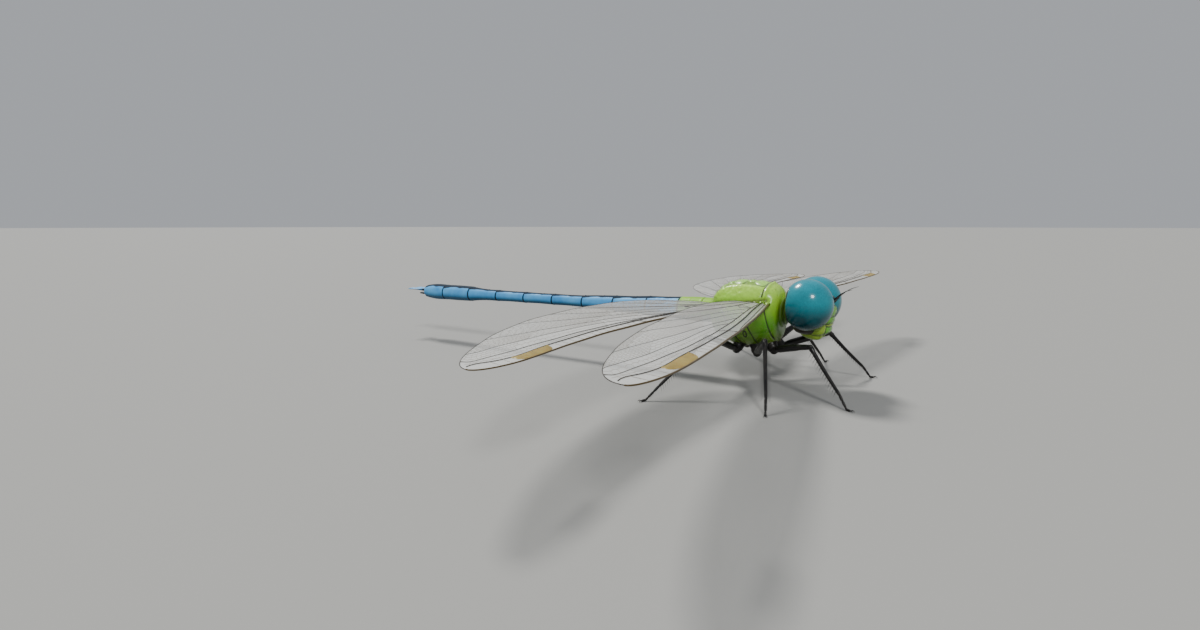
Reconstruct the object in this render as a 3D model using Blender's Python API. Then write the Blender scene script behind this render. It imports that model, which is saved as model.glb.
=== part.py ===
"""A male emperor dragonfly, life size, standing on its six feet with its wings spread.

Sizes are in millimetres and become metres as each mesh is made. +Z is up, the head looks
along -Y, and +X is the animal's left. A place along the body is its distance behind the
middle of the eyes. The origin is on the floor, under the middle of the bounding box.
"""

from math import cos, pi, radians, sin

import bmesh
import bpy
from mathutils import Matrix, Vector

for old in list(bpy.data.objects):
    bpy.data.objects.remove(old, do_unlink=True)

# ---- driving dimensions, mm ----
MM = 0.001
EYES_AHEAD = 33.614         # from the origin forward to the middle of the eyes
GAP = 0.1                   # left between neighbouring pieces

EYE_RADII = (3.15, 3.05, 3.2)
EYE_OUT = 2.41              # each eye's middle, sideways from the midline
EYE_UP = 10.8
EYE_BACK = 2.2              # the eye is cut flat here, against the rear of the head

ANTENNA_ROOT = (0.58, -2.6, 11.15)
ANTENNA_TIP = (2.3, -5.0, 12.95)
ANTENNA_RADIUS = 0.25

PROTHORAX_SPAN = (2.65, 3.45)
THORAX_SPAN = (3.55, 12.66)
THORAX_WIDE = 4.25          # half width
THORAX_TOP = 13.45
THORAX_BOTTOM = 4.62
THORAX_FRONT_OVAL = (1.9, 1.9, 9.3)       # half width, half height, middle's height
THORAX_REAR_OVAL = (1.75, 1.75, 8.85)
THORAX_BLUNTNESS = (2.8, 2.1)             # of its front and of its rear
THORAX_SLANT = 0.05         # the wing-bearing top leans back, the leg-bearing floor forward

# rear end of each abdomen segment and its half width there
ABDOMEN_FRONT = 12.77
ABDOMEN_ENDS = (18.0, 23.1, 28.8, 34.5, 40.3, 46.1, 52.1, 58.2, 64.4, 69.7)
ABDOMEN_RADII = (1.62, 1.46, 1.22, 0.95, 0.92, 0.93, 0.97, 1.30, 1.34, 1.05)
ABDOMEN_FRONT_RADIUS = 1.68
ABDOMEN_FRONT_UP = 8.87
ABDOMEN_REAR_UP = 8.25
ABDOMEN_WAIST = 0.05        # how much a segment narrows between its two ends
SWELLING = {1: 0.07, 4: 0.02, 8: -0.13, 9: 0.04, 10: 0.2}    # segments that bulge instead

CERCUS_LENGTH = 3.95
CERCUS_HALF_WIDTH = 0.5
CERCUS_THICKNESS = 0.55
EPIPROCT_LENGTH = 1.7

WING_THICKNESS = 0.5
TIP_ROUNDED_FROM = 0.84     # share of the span where the tip's arc starts
# root and tip are places on the leading edge; sweep and curve bend that edge, the chord is
# widest at the share "widest" of the span, and droop takes the rounded tip backwards
FORE_WING = dict(root=(2.7, 4.7, 10.7), tip_out=49.4, tip_up=11.85, sweep=-10.1, curve=3.2,
                 droop=1.4, chord=8.05, widest=0.38, base=0.3, filling=0.58, tip_power=2.28,
                 incidence=2.4)
HIND_WING = dict(root=(2.6, 9.6, 10.0), tip_out=47.9, tip_up=10.2, sweep=9.8, curve=-8.5,
                 droop=2.1, chord=9.95, widest=0.24, base=0.42, filling=0.76, tip_power=2.06,
                 incidence=4.0)

# coxa, trochanter, knee, ankle and foot of each left leg
LEGS = {
    "fore": ((1.1, 4.9, 5.6), (1.7, 4.1, 4.55), (5.6, -1.3, 6.2), (8.1, -5.3, 1.55), (9.05, -7.0, 0.25)),
    "mid": ((1.3, 6.6, 5.3), (2.3, 6.1, 4.1), (8.2, 3.4, 6.9), (13.6, 1.45, 1.55), (15.9, 0.75, 0.25)),
    "hind": ((1.3, 8.6, 5.4), (2.2, 8.9, 4.25), (9.3, 10.3, 6.9), (15.4, 13.7, 1.6), (18.0, 15.1, 0.25)),
}
COXA_RADIUS = 0.75
FEMUR_RADIUS = 0.46
KNEE_RADIUS = 0.36
TIBIA_RADIUS = 0.29
TARSUS_RADIUS = 0.25
TARSUS_ON_FLOOR = 1.1       # length of each foot that lies on the floor

# ---- colours ----
GREEN = (0.36, 0.62, 0.08)
BLUE = (0.10, 0.38, 0.72)
TEAL = (0.02, 0.25, 0.34)
BLACK = (0.012, 0.012, 0.012)
BROWN = (0.05, 0.035, 0.025)
MEMBRANE = (0.72, 0.74, 0.72)


def spot(out, back, up):
    """A place on the animal, in metres."""
    return Vector((out, back - EYES_AHEAD, up)) * MM


def finish(name, colour, roughness):
    """A plain surface colour."""
    material = bpy.data.materials.new(name)
    material.use_nodes = True
    shader = material.node_tree.nodes["Principled BSDF"]
    shader.inputs["Base Color"].default_value = (*colour, 1.0)
    shader.inputs["Roughness"].default_value = roughness
    shader.inputs["Metallic"].default_value = 0.0
    return material


animal = bpy.data.objects.new("dragonfly", None)
bpy.context.collection.objects.link(animal)


def piece(name, shape, colour, roughness, at=(0.0, 0.0, 0.0), turn=(0.0, 0.0, 0.0)):
    """Turn a closed bmesh in metres into one named object under the animal's empty."""
    bmesh.ops.recalc_face_normals(shape, faces=shape.faces)
    mesh = bpy.data.meshes.new(name)
    shape.to_mesh(mesh)
    shape.free()
    mesh.shade_smooth()
    mesh.set_sharp_from_angle(angle=radians(40))
    mesh.materials.append(finish(name, colour, roughness))
    made = bpy.data.objects.new(name, mesh)
    made.location = at
    made.rotation_euler = turn
    made.parent = animal
    bpy.context.collection.objects.link(made)
    return made


def cut_away(made, cutter):
    """Keep a piece clear of its neighbour by cutting it with the neighbour's larger twin."""
    boolean = made.modifiers.new("clear of " + cutter.name, "BOOLEAN")
    boolean.operation = "DIFFERENCE"
    boolean.solver = "EXACT"
    boolean.object = cutter


def as_cutter(made):
    """Mark an object as a tool that isn't part of the animal."""
    made.hide_render = True
    made.display_type = "WIRE"
    return made


def oval(centre, across, upright, half_width, half_height, sides, power=2.0):
    """A ring of points: an ellipse, or a squarer oval where power is over 2."""
    ring = []
    for step in range(sides):
        angle = 2.0 * pi * step / sides
        c, s = cos(angle), sin(angle)
        reach = (abs(c) ** power + abs(s) ** power) ** (-1.0 / power)
        ring.append(centre + across * (half_width * reach * c) + upright * (half_height * reach * s))
    return ring


def loft(rings):
    """A closed body through rings that have the same number of points."""
    shape = bmesh.new()
    rows = [[shape.verts.new(point) for point in ring] for ring in rings]
    count = len(rows[0])
    for lower, upper in zip(rows, rows[1:]):
        for i in range(count):
            j = (i + 1) % count
            shape.faces.new((lower[i], lower[j], upper[j], upper[i]))
    shape.faces.new(rows[0])
    shape.faces.new(rows[-1])
    return shape


def blend(start, end, share):
    return start + (end - start) * share


# ---- thorax and the collar in front of it ----
ACROSS = Vector((1.0, 0.0, 0.0))
UPRIGHT = Vector((0.0, 0.0, 1.0))
THORAX_RINGS = 17
THORAX_SIDES = 30


def thorax_rings(grow=0.0):
    """Ovals from the neck socket, over the swollen flight-muscle box, to the abdomen."""
    front, rear = THORAX_SPAN
    middle_up = 0.5 * (THORAX_TOP + THORAX_BOTTOM)
    rings = []
    for step in range(THORAX_RINGS):
        share = -cos(pi * step / (THORAX_RINGS - 1))
        back = 0.5 * (front + rear) + share * (0.5 * (rear - front) + grow)
        end = THORAX_FRONT_OVAL if share < 0.0 else THORAX_REAR_OVAL
        power = THORAX_BLUNTNESS[0 if share < 0.0 else 1]
        fullness = (1.0 - abs(share) ** power) ** (1.0 / power)
        half_width = blend(end[0], THORAX_WIDE, fullness) + grow
        half_height = blend(end[1], 0.5 * (THORAX_TOP - THORAX_BOTTOM), fullness) + grow
        middle = blend(end[2], middle_up, fullness)
        ring = oval(spot(0.0, back, middle), ACROSS, UPRIGHT,
                    half_width * MM, half_height * MM, THORAX_SIDES, 2.15)
        slant = THORAX_SLANT * fullness
        rings.append([p + Vector((0.0, (p.z - middle * MM) * slant, 0.0)) for p in ring])
    return rings


thorax = piece("thorax", loft(thorax_rings()), GREEN, 0.35)
thorax_cutter = as_cutter(piece("thorax_cutter", loft(thorax_rings(GAP)), GREEN, 0.35))

# half width, half height and middle's height of the neck and collar along their length
PROTHORAX_SHAPE = ((0.95, 1.1, 9.7), (1.55, 1.7, 9.5), (1.9, 1.95, 9.35), (1.8, 1.85, 9.3))
collar_rings = []
for number, (half_width, half_height, up) in enumerate(PROTHORAX_SHAPE):
    share = number / (len(PROTHORAX_SHAPE) - 1)
    centre = spot(0.0, blend(*PROTHORAX_SPAN, share), up)
    collar_rings.append(oval(centre, ACROSS, UPRIGHT, half_width * MM, half_height * MM, 20))
piece("prothorax", loft(collar_rings), GREEN, 0.4)

# ---- head and eyes ----
EYE_SEGMENTS = 26
EYE_RINGS = 15


def eye_shape(side, grow=0.0, seam=True):
    """An ellipsoid round an axis that points sideways, cut at the midline and at the rear."""
    shape = bmesh.new()
    bmesh.ops.create_uvsphere(shape, u_segments=EYE_SEGMENTS, v_segments=EYE_RINGS, radius=1.0)
    size = Matrix.Diagonal([(radius + grow) * MM for radius in EYE_RADII] + [1.0])
    place = Matrix.Translation(spot(side * EYE_OUT, 0.0, EYE_UP))
    shape.transform(place @ size @ Matrix.Rotation(pi / 2.0, 4, "Y"))
    cuts = [(spot(0.0, EYE_BACK + grow, EYE_UP), Vector((0.0, 1.0, 0.0)))]
    if seam:
        cuts.append((spot(side * GAP / 2.0, 0.0, EYE_UP), Vector((-side, 0.0, 0.0))))
    for point, outward in cuts:
        everything = shape.verts[:] + shape.edges[:] + shape.faces[:]
        cut = bmesh.ops.bisect_plane(shape, geom=everything, plane_co=point, plane_no=outward,
                                     dist=1e-7, clear_outer=True)
        rim = [item for item in cut["geom_cut"] if isinstance(item, bmesh.types.BMEdge)]
        bmesh.ops.edgenet_fill(shape, edges=rim)
    return shape


# height, half width, reach forward and reach back of the face and the rear of the head
HEAD_SHAPE = (
    (6.25, 0.9, 0.6, 0.9),       # labium
    (6.6, 1.5, 1.45, 1.35),
    (7.2, 1.95, 2.2, 1.95),      # labrum and mandibles
    (8.0, 2.2, 2.6, 2.35),
    (8.7, 2.3, 2.75, 2.5),       # clypeus
    (9.4, 2.35, 2.85, 2.55),     # frons
    (10.0, 2.3, 2.98, 2.55),
    (10.55, 2.15, 2.92, 2.55),
    (11.1, 1.9, 2.72, 2.55),
    (11.7, 1.6, 2.45, 2.5),      # vertex
    (12.2, 1.3, 1.95, 2.45),
    (12.65, 1.0, 1.5, 2.35),     # occiput
)
HEAD_SIDES = 26



def head_rings(grow=0.0):
    """Level slices of the face and the rear of the head, from the chin up."""
    rings = []
    for up, half_width, forward, backward in HEAD_SHAPE:
        ring = []
        for step in range(HEAD_SIDES):
            angle = 2.0 * pi * step / HEAD_SIDES
            reach = backward if sin(angle) > 0.0 else forward
            ring.append(spot((half_width + grow) * cos(angle), (reach + grow) * sin(angle), up))
        rings.append(ring)
    return rings


head = piece("head", loft(head_rings()), GREEN, 0.35)
head_cutter = as_cutter(piece("head_cutter", loft(head_rings(GAP)), GREEN, 0.35))

for side, word in ((1, "left"), (-1, "right")):
    piece("eye_" + word, eye_shape(side), TEAL, 0.12)
    socket = piece("eye_cutter_" + word, eye_shape(side, GAP, seam=False), TEAL, 0.12)
    cut_away(head, as_cutter(socket))
    start = spot(side * ANTENNA_ROOT[0], *ANTENNA_ROOT[1:])
    end = spot(side * ANTENNA_TIP[0], *ANTENNA_TIP[1:])
    along = (end - start).normalized()
    sideways = along.cross(UPRIGHT).normalized()
    over = sideways.cross(along)
    rings = [oval(start.lerp(end, share), sideways, over, ANTENNA_RADIUS * MM, ANTENNA_RADIUS * MM, 8)
             for share in (0.0, 0.5, 1.0)]
    cut_away(piece("antenna_" + word, loft(rings), BLACK, 0.4), head_cutter)

# ---- abdomen and its appendages ----
ABDOMEN_SIDES = 22
ABDOMEN_STEPS = 4


def abdomen_up(back):
    """Height of the abdomen's axis."""
    share = (back - ABDOMEN_FRONT) / (ABDOMEN_ENDS[-1] - ABDOMEN_FRONT)
    return blend(ABDOMEN_FRONT_UP, ABDOMEN_REAR_UP, share)


def segment_rings(number):
    """Ovals of one abdomen segment, from its front end to its rear end."""
    front = ABDOMEN_FRONT if number == 1 else ABDOMEN_ENDS[number - 2] + GAP
    rear = ABDOMEN_ENDS[number - 1]
    front_radius = ABDOMEN_FRONT_RADIUS if number == 1 else ABDOMEN_RADII[number - 2]
    rear_radius = ABDOMEN_RADII[number - 1]
    bulge = SWELLING.get(number, -ABDOMEN_WAIST)
    rings = []
    for step in range(ABDOMEN_STEPS + 1):
        share = step / ABDOMEN_STEPS
        back = blend(front, rear, share)
        radius = blend(front_radius, rear_radius, share) + bulge * sin(pi * share)
        rings.append(oval(spot(0.0, back, abdomen_up(back)), ACROSS, UPRIGHT,
                          radius * 1.02 * MM, radius * MM, ABDOMEN_SIDES, 2.1))
    return rings


for number in range(1, len(ABDOMEN_ENDS) + 1):
    piece(f"abdomen_{number:02d}", loft(segment_rings(number)), GREEN if number == 1 else BLUE, 0.35)

# half width and sideways drift of a clasper, along its length
CERCUS_SHAPE = ((0.5, 0.0), (0.7, 0.1), (1.0, 0.26), (0.95, 0.36), (0.55, 0.34))
for side, word in ((1, "left"), (-1, "right")):
    rings = []
    for step, (fullness, drift) in enumerate(CERCUS_SHAPE):
        back = ABDOMEN_ENDS[-1] + GAP + CERCUS_LENGTH * step / (len(CERCUS_SHAPE) - 1)
        centre = spot(side * (CERCUS_HALF_WIDTH + GAP / 2.0 + drift), back, ABDOMEN_REAR_UP + 0.25)
        rings.append(oval(centre, ACROSS, UPRIGHT, CERCUS_HALF_WIDTH * fullness * MM,
                          0.5 * CERCUS_THICKNESS * MM, 10, 2.6))
    piece("cercus_" + word, loft(rings), BROWN, 0.4)
rings = []
for share, half_width in ((0.0, 0.55), (0.5, 0.5), (1.0, 0.36)):
    centre = spot(0.0, ABDOMEN_ENDS[-1] + GAP + EPIPROCT_LENGTH * share, ABDOMEN_REAR_UP - 0.42)
    rings.append(oval(centre, ACROSS, UPRIGHT, half_width * MM, 0.27 * MM, 10, 2.6))
piece("epiproct", loft(rings), BROWN, 0.4)

# ---- wings ----
WING_STEPS = 26


def wing_outline(wing):
    """Leading edge out to the tip and trailing edge home, from the wing's own root, in mm."""
    span = wing["tip_out"] - wing["root"][0]
    leading, trailing = [], []
    for step in range(WING_STEPS + 1):
        share = 0.5 * (1.0 - cos(pi * step / WING_STEPS))
        if share < wing["widest"]:
            rise = sin(0.5 * pi * (share / wing["widest"]) ** wing["filling"])
            chord = wing["chord"] * blend(wing["base"], 1.0, rise)
        else:
            beyond = (share - wing["widest"]) / (1.0 - wing["widest"])
            power = wing["tip_power"]
            chord = wing["chord"] * max(0.0, 1.0 - beyond ** power) ** (1.0 / power)
        arc = max(0.0, (share - TIP_ROUNDED_FROM) / (1.0 - TIP_ROUNDED_FROM))
        edge = wing["sweep"] * share + wing["curve"] * share ** 2
        edge += wing["droop"] * (1.0 - (1.0 - min(arc, 1.0) ** 2) ** 0.5)
        leading.append((span * share, edge))
        trailing.append((span * share, edge + chord))
    return leading + trailing[-2::-1]


def wing_plate(wing, side):
    shape = bmesh.new()
    half = 0.5 * WING_THICKNESS * MM
    outline = wing_outline(wing)
    lower = [shape.verts.new((side * x * MM, y * MM, -half)) for x, y in outline]
    upper = [shape.verts.new((side * x * MM, y * MM, half)) for x, y in outline]
    shape.faces.new(lower)
    shape.faces.new(upper)
    for i in range(len(outline)):
        j = (i + 1) % len(outline)
        shape.faces.new((lower[i], lower[j], upper[j], upper[i]))
    return shape


for word, wing in (("fore", FORE_WING), ("hind", HIND_WING)):
    root_out, root_back, root_up = wing["root"]
    fall = (root_up - wing["tip_up"]) / (wing["tip_out"] - root_out)
    for side, side_word in ((1, "left"), (-1, "right")):
        plate = piece(f"{word}_wing_{side_word}", wing_plate(wing, side), MEMBRANE, 0.2,
                      at=spot(side * root_out, root_back, root_up),
                      turn=(radians(wing["incidence"]), side * fall, 0.0))
        cut_away(plate, thorax_cutter)

# ---- legs ----
LEG_SIDES = 8


def leg_path(side, stations):
    """Centre points, radii and joint numbers of one leg, from inside the coxa to the claw."""
    coxa, trochanter, knee, ankle, foot = (spot(side * x, back, up) for x, back, up in stations)
    heel = foot + (ankle - foot).normalized() * (TARSUS_ON_FLOOR * MM)
    heel.z = TARSUS_RADIUS * MM
    points = [coxa, trochanter, trochanter.lerp(knee, 0.15), trochanter.lerp(knee, 0.55), knee,
              knee.lerp(ankle, 0.5), ankle, heel, foot]
    radii = [COXA_RADIUS, 0.8 * COXA_RADIUS, FEMUR_RADIUS, FEMUR_RADIUS, KNEE_RADIUS,
             TIBIA_RADIUS, 0.9 * TIBIA_RADIUS, TARSUS_RADIUS, TARSUS_RADIUS]
    return points, radii


def leg_frames(points):
    """The direction across each point: square to the leg, and shared by both sides of a bend."""
    frames = []
    for i in range(len(points)):
        before = points[max(i, 1)] - points[max(i, 1) - 1]
        last = min(i, len(points) - 2)
        after = points[last + 1] - points[last]
        frames.append((before.normalized() + after.normalized()).normalized())
    return frames


def leg_piece(name, points, radii, frames, first, last):
    """One length of a leg between two joints, ending flat just short of each joint."""
    rings = []
    for i in range(first, last + 1):
        along = frames[i]
        centre = points[i].copy()
        if i == first and first > 0:
            centre += along * (0.5 * GAP * MM)
        if i == last and last < len(points) - 1:
            centre -= along * (0.5 * GAP * MM)
        sideways = along.cross(UPRIGHT).normalized()
        over = sideways.cross(along)
        ring = oval(centre, sideways, over, radii[i] * MM, radii[i] * MM, LEG_SIDES)
        for point in ring:
            point.z = max(point.z, 0.0)
        rings.append(ring)
    return piece(name, loft(rings), BLACK, 0.4)


KNEE_JOINT = 4
ANKLE_JOINT = 6
for word, stations in LEGS.items():
    for side, side_word in ((1, "left"), (-1, "right")):
        points, radii = leg_path(side, stations)
        frames = leg_frames(points)
        name = f"{word}_leg_{side_word}"
        femur = leg_piece(name + "_femur", points, radii, frames, 0, KNEE_JOINT)
        cut_away(femur, thorax_cutter)
        leg_piece(name + "_tibia", points, radii, frames, KNEE_JOINT, ANKLE_JOINT)
        leg_piece(name + "_tarsus", points, radii, frames, ANKLE_JOINT, len(points) - 1)
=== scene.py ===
"""The looks of a male emperor dragonfly, standing with its wings spread.

Places are given with spot(): millimetres to the animal's left, millimetres behind the middle
of its eyes, and millimetres above the floor. Meshes are in metres, as the frame is.
"""

from math import atan2, cos, exp, hypot, log, pi, radians, sin, sqrt

import bmesh
import bpy
import numpy as np
from mathutils import Euler, Matrix, Vector, noise


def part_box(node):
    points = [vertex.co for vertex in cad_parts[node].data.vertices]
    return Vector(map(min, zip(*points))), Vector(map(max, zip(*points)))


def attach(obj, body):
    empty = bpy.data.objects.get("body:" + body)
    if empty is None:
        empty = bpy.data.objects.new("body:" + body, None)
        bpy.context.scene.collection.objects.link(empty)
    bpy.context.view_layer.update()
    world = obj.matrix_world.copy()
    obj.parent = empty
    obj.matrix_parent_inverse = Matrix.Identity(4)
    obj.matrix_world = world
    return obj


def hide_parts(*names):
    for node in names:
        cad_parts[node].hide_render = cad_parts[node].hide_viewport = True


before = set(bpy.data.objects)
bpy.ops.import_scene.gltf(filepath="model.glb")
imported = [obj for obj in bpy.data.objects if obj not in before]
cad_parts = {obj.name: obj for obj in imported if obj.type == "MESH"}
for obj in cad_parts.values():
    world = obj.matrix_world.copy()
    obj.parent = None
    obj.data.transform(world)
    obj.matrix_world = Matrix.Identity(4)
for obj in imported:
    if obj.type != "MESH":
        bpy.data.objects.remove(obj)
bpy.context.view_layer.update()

# ---- Camera ----
# A wide lens close to the animal's right front, a little above its back, looking past the
# wing tips to the tail.
MM = 0.001
EYE_HALF_DEPTH = 3.05
EYES_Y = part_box("eye_left")[0].y + EYE_HALF_DEPTH * MM


def spot(out, back, up):
    """A place on the animal, in metres."""
    return Vector((out * MM, EYES_Y + back * MM, up * MM))


def look(thing, at, towards):
    """Put a camera or a lamp somewhere and turn it to face a place."""
    thing.location = at
    thing.rotation_euler = (towards - at).to_track_quat("-Z", "Y").to_euler()
    bpy.context.scene.collection.objects.link(thing)


lens = bpy.data.cameras.new("camera")
lens.sensor_width = 36.0
lens.lens = 18.1
lens.clip_start = 0.002
camera = bpy.data.objects.new("camera", lens)
look(camera, spot(-78.37, -17.19, 20.68), spot(-11.22, 24.61, 8.72))
bpy.context.scene.camera = camera

# ---- Floor and light ----
# A pale studio floor without an edge in sight, a broad soft lamp high behind the animal's left
# shoulder, a weaker one over the camera, and a bright room all round.
FLOOR_RADIUS = 4.0
FLOOR_TURNS = 96
FLOOR_GREY = (0.31, 0.31, 0.30)
# name, where it shines from, how many degrees wide it looks, strength, colour
LAMPS = (
    ("lamp_high", spot(130, 240, 330), 10.0, 3.6, (1.0, 0.98, 0.94)),
    ("lamp_front", spot(-240, -190, 300), 12.0, 1.8, (1.0, 0.99, 0.97)),
)
ROOM_COLOUR = (0.90, 0.94, 1.0)
ROOM_STRENGTH = 0.45


def set_inputs(node, inputs):
    """Set a node's inputs, each to a plain value or to another node's output."""
    for key, value in inputs.items():
        socket = node.inputs[key]
        if isinstance(value, bpy.types.NodeSocket):
            node.id_data.links.new(value, socket)
        else:
            socket.default_value = (*value, 1.0) if socket.type == "RGBA" else value


def add_node(tree, kind, inputs, give=0, **settings):
    """Add a node to a tree and give one of its outputs."""
    made = tree.nodes.new(kind)
    for key, value in settings.items():
        setattr(made, key, value)
    set_inputs(made, inputs)
    return made.outputs[give]


class Finish:
    """A procedural material. Its textures lie on the piece's own place, in features per metre."""

    def __init__(self, name, inputs):
        self.material = bpy.data.materials.new(name)
        self.material.use_nodes = True
        self.shader = self.material.node_tree.nodes["Principled BSDF"]
        set_inputs(self.shader, inputs)

    def add(self, kind, inputs, give=0, **settings):
        return add_node(self.material.node_tree, kind, inputs, give, **settings)

    def place(self):
        return self.add("ShaderNodeTexCoord", {}, "Object")

    def height(self):
        """The height above the floor, in metres."""
        return self.add("ShaderNodeSeparateXYZ", {"Vector": self.place()}, "Z")

    def noise(self, scale, detail):
        return self.add("ShaderNodeTexNoise", {"Vector": self.place(), "Scale": scale, "Detail": detail})

    def cells(self, scale):
        return self.add("ShaderNodeTexVoronoi", {"Vector": self.place(), "Scale": scale})

    def noted(self, name, give="Fac"):
        """A number or a colour that the piece notes at each of its points."""
        return self.add("ShaderNodeAttribute", {}, give, attribute_name=name)

    def ragged(self, name, texture, amount):
        """A noted number with its edges broken up by a texture."""
        worn = self.spread(texture, 0.3, 0.7, -amount, amount)
        return self.add("ShaderNodeMath", {0: self.noted(name), 1: worn}, operation="ADD")

    def spread(self, value, low, high, to_low=0.0, to_high=1.0):
        """Stretch a number from one range to another, held at both ends."""
        return self.add("ShaderNodeMapRange", {"Value": value, "From Min": low, "From Max": high,
                                               "To Min": to_low, "To Max": to_high})

    def ramp(self, value, *stops):
        """A colour ramp read at a value; a stop is (place, colour)."""
        made = self.add("ShaderNodeValToRGB", {"Fac": value})
        elements = made.node.color_ramp.elements
        while len(elements) < len(stops):
            elements.new(0.5)
        for element, (place, colour) in zip(elements, stops):
            element.position = place
            element.color = (*colour, 1.0)
        return made

    def mix(self, share, first, second, kind="MIX"):
        """Blend two colours. Inputs 6 and 7 of the node are its colours, and output 2 is their mix."""
        return self.add("ShaderNodeMix", {0: share, 6: first, 7: second}, 2,
                        data_type="RGBA", blend_type=kind)

    def paint(self, colour):
        self.colour = colour
        set_inputs(self.shader, {"Base Color": colour})

    def tint(self, colour, value, low, high, to_low=0.0, to_high=1.0, kind="MIX"):
        """Lay a colour over the paint so far, as strongly as a stretched number says."""
        self.paint(self.mix(self.spread(value, low, high, to_low, to_high), self.colour, colour, kind))

    def rough(self, texture, low, high):
        set_inputs(self.shader, {"Roughness": self.spread(texture, 0.3, 0.7, low, high)})

    def relief(self, texture, depth, strength):
        """Raise and sink the surface by a texture, depth in mm, on top of any earlier relief."""
        inputs = {"Height": texture, "Distance": depth * MM, "Strength": strength}
        if self.shader.inputs["Normal"].links:
            inputs["Normal"] = self.shader.inputs["Normal"].links[0].from_socket
        set_inputs(self.shader, {"Normal": self.add("ShaderNodeBump", inputs)})


def as_mesh(name, shape):
    """Turn a bmesh into a plain mesh."""
    mesh = bpy.data.meshes.new(name)
    shape.to_mesh(mesh)
    shape.free()
    return mesh


def show(name, mesh, finish):
    """A smooth piece at the origin, with its place in its mesh."""
    mesh.shade_smooth()
    mesh.name = name
    mesh.materials.clear()
    mesh.materials.append(finish.material)
    piece = bpy.data.objects.new(name, mesh)
    bpy.context.scene.collection.objects.link(piece)
    return piece


disc = bmesh.new()
bmesh.ops.create_circle(disc, cap_ends=True, radius=FLOOR_RADIUS, segments=FLOOR_TURNS)
paint = Finish("pale floor", {"Base Color": FLOOR_GREY, "Roughness": 0.85, "Specular IOR Level": 0.2})
floor = show("floor", as_mesh("floor", disc), paint)

world = bpy.data.worlds.new("studio")
world.use_nodes = True
set_inputs(world.node_tree.nodes["Background"], {"Color": ROOM_COLOUR, "Strength": ROOM_STRENGTH})
bpy.context.scene.world = world

for name, at, width, strength, colour in LAMPS:
    bulb = bpy.data.lights.new(name, "SUN")
    bulb.angle = radians(width)
    bulb.energy = strength
    bulb.color = colour
    look(bpy.data.objects.new(name, bulb), at, spot(0, 10, 8))

# ---- Compound eyes ----
# Two glossy globes, each of tens of thousands of six-sided facets under a clear cornea. They
# press flat against each other along the crown and against the rear of the head.
SIDES = ((1, "left"), (-1, "right"))
EYE_RADII = (3.15, 3.05, 3.2)
EYE_OUT = 2.41
EYE_UP = 10.8
EYE_SEAM = 0.03             # each eye stops this far from the midline
EYE_BACK = 2.2
EYE_SOFTNESS = 0.07         # how round the pressed edges are
FACET = 0.075               # across one facet


def soft_least(a, b, softness):
    """The smaller of two lengths, with a rounded change from one to the other."""
    low = min(a, b)
    return low - softness * log(exp((low - a) / softness) + exp((low - b) / softness))


def settle(name, shape, finish):
    """Place a bmesh made in the animal's own mm into the frame, as a finished piece."""
    for vert in shape.verts:
        vert.co = spot(*vert.co)
    bmesh.ops.recalc_face_normals(shape, faces=shape.faces)
    return show(name, as_mesh(name, shape), finish)


cornea = Finish("eye cornea", {"Roughness": 0.22, "Coat Weight": 0.4, "Coat Roughness": 0.05,
                               "Specular IOR Level": 0.2})
# Painted shade and light: the eye's colour is ramped by height, near black at the bottom as painted shade and
# bright teal on top as painted light.
painted_shade_height = cornea.spread(cornea.height(), (EYE_UP - EYE_RADII[2]) * MM, (EYE_UP + EYE_RADII[2]) * MM)
cornea.paint(cornea.ramp(painted_shade_height, (0.0, (0.0005, 0.006, 0.008)), (0.30, (0.001, 0.065, 0.080)),
                         (0.60, (0.004, 0.330, 0.405)), (1.0, (0.010, 0.320, 0.425))))
cornea.tint((0.010, 0.19, 0.22), cornea.noise(900.0, 3.0), 0.35, 0.75, 0.0, 0.35)
facets = cornea.cells(1.0 / (FACET * MM))
cornea.tint((0.003, 0.06, 0.09), facets, 0.25, 0.62, 0.0, 0.4)
cornea.relief(facets, 0.012, 0.25)

for side, word in SIDES:
    eye = bmesh.new()
    bmesh.ops.create_uvsphere(eye, u_segments=96, v_segments=64, radius=1.0)
    eye.transform(Matrix.Translation((side * EYE_OUT, 0.0, EYE_UP)) @ Matrix.Diagonal((*EYE_RADII, 1.0))
                  @ Matrix.Rotation(pi / 2.0, 4, "Y"))
    for vert in eye.verts:
        vert.co.x = -side * soft_least(-side * vert.co.x, -EYE_SEAM, EYE_SOFTNESS)
        vert.co.y = soft_least(vert.co.y, EYE_BACK, EYE_SOFTNESS)
    piece = settle("eye_" + word + "_cornea", eye, cornea)
    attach(piece, "root")
    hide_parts("eye_" + word)

# ---- Head ----
# A hard capsule made of plates: the swollen forehead, the two nose plates, the broad upper lip,
# the jaws and lower lip that shut from below, the crown with its three simple eyes, and the dark
# rear wall that rims the compound eyes. Sunk sutures part the plates.
FACE_GREEN = (0.11, 0.36, 0.013)
FACE_YELLOW = (0.26, 0.41, 0.030)
LIP_BROWN = (0.16, 0.12, 0.035)
REAR_DARK = (0.025, 0.020, 0.014)
HEAD_VOXEL = 0.075
PLATE_SQUARENESS = 2.5
SUTURE_WIDTH = 0.05
SUTURE_DEPTH = 0.05
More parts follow.
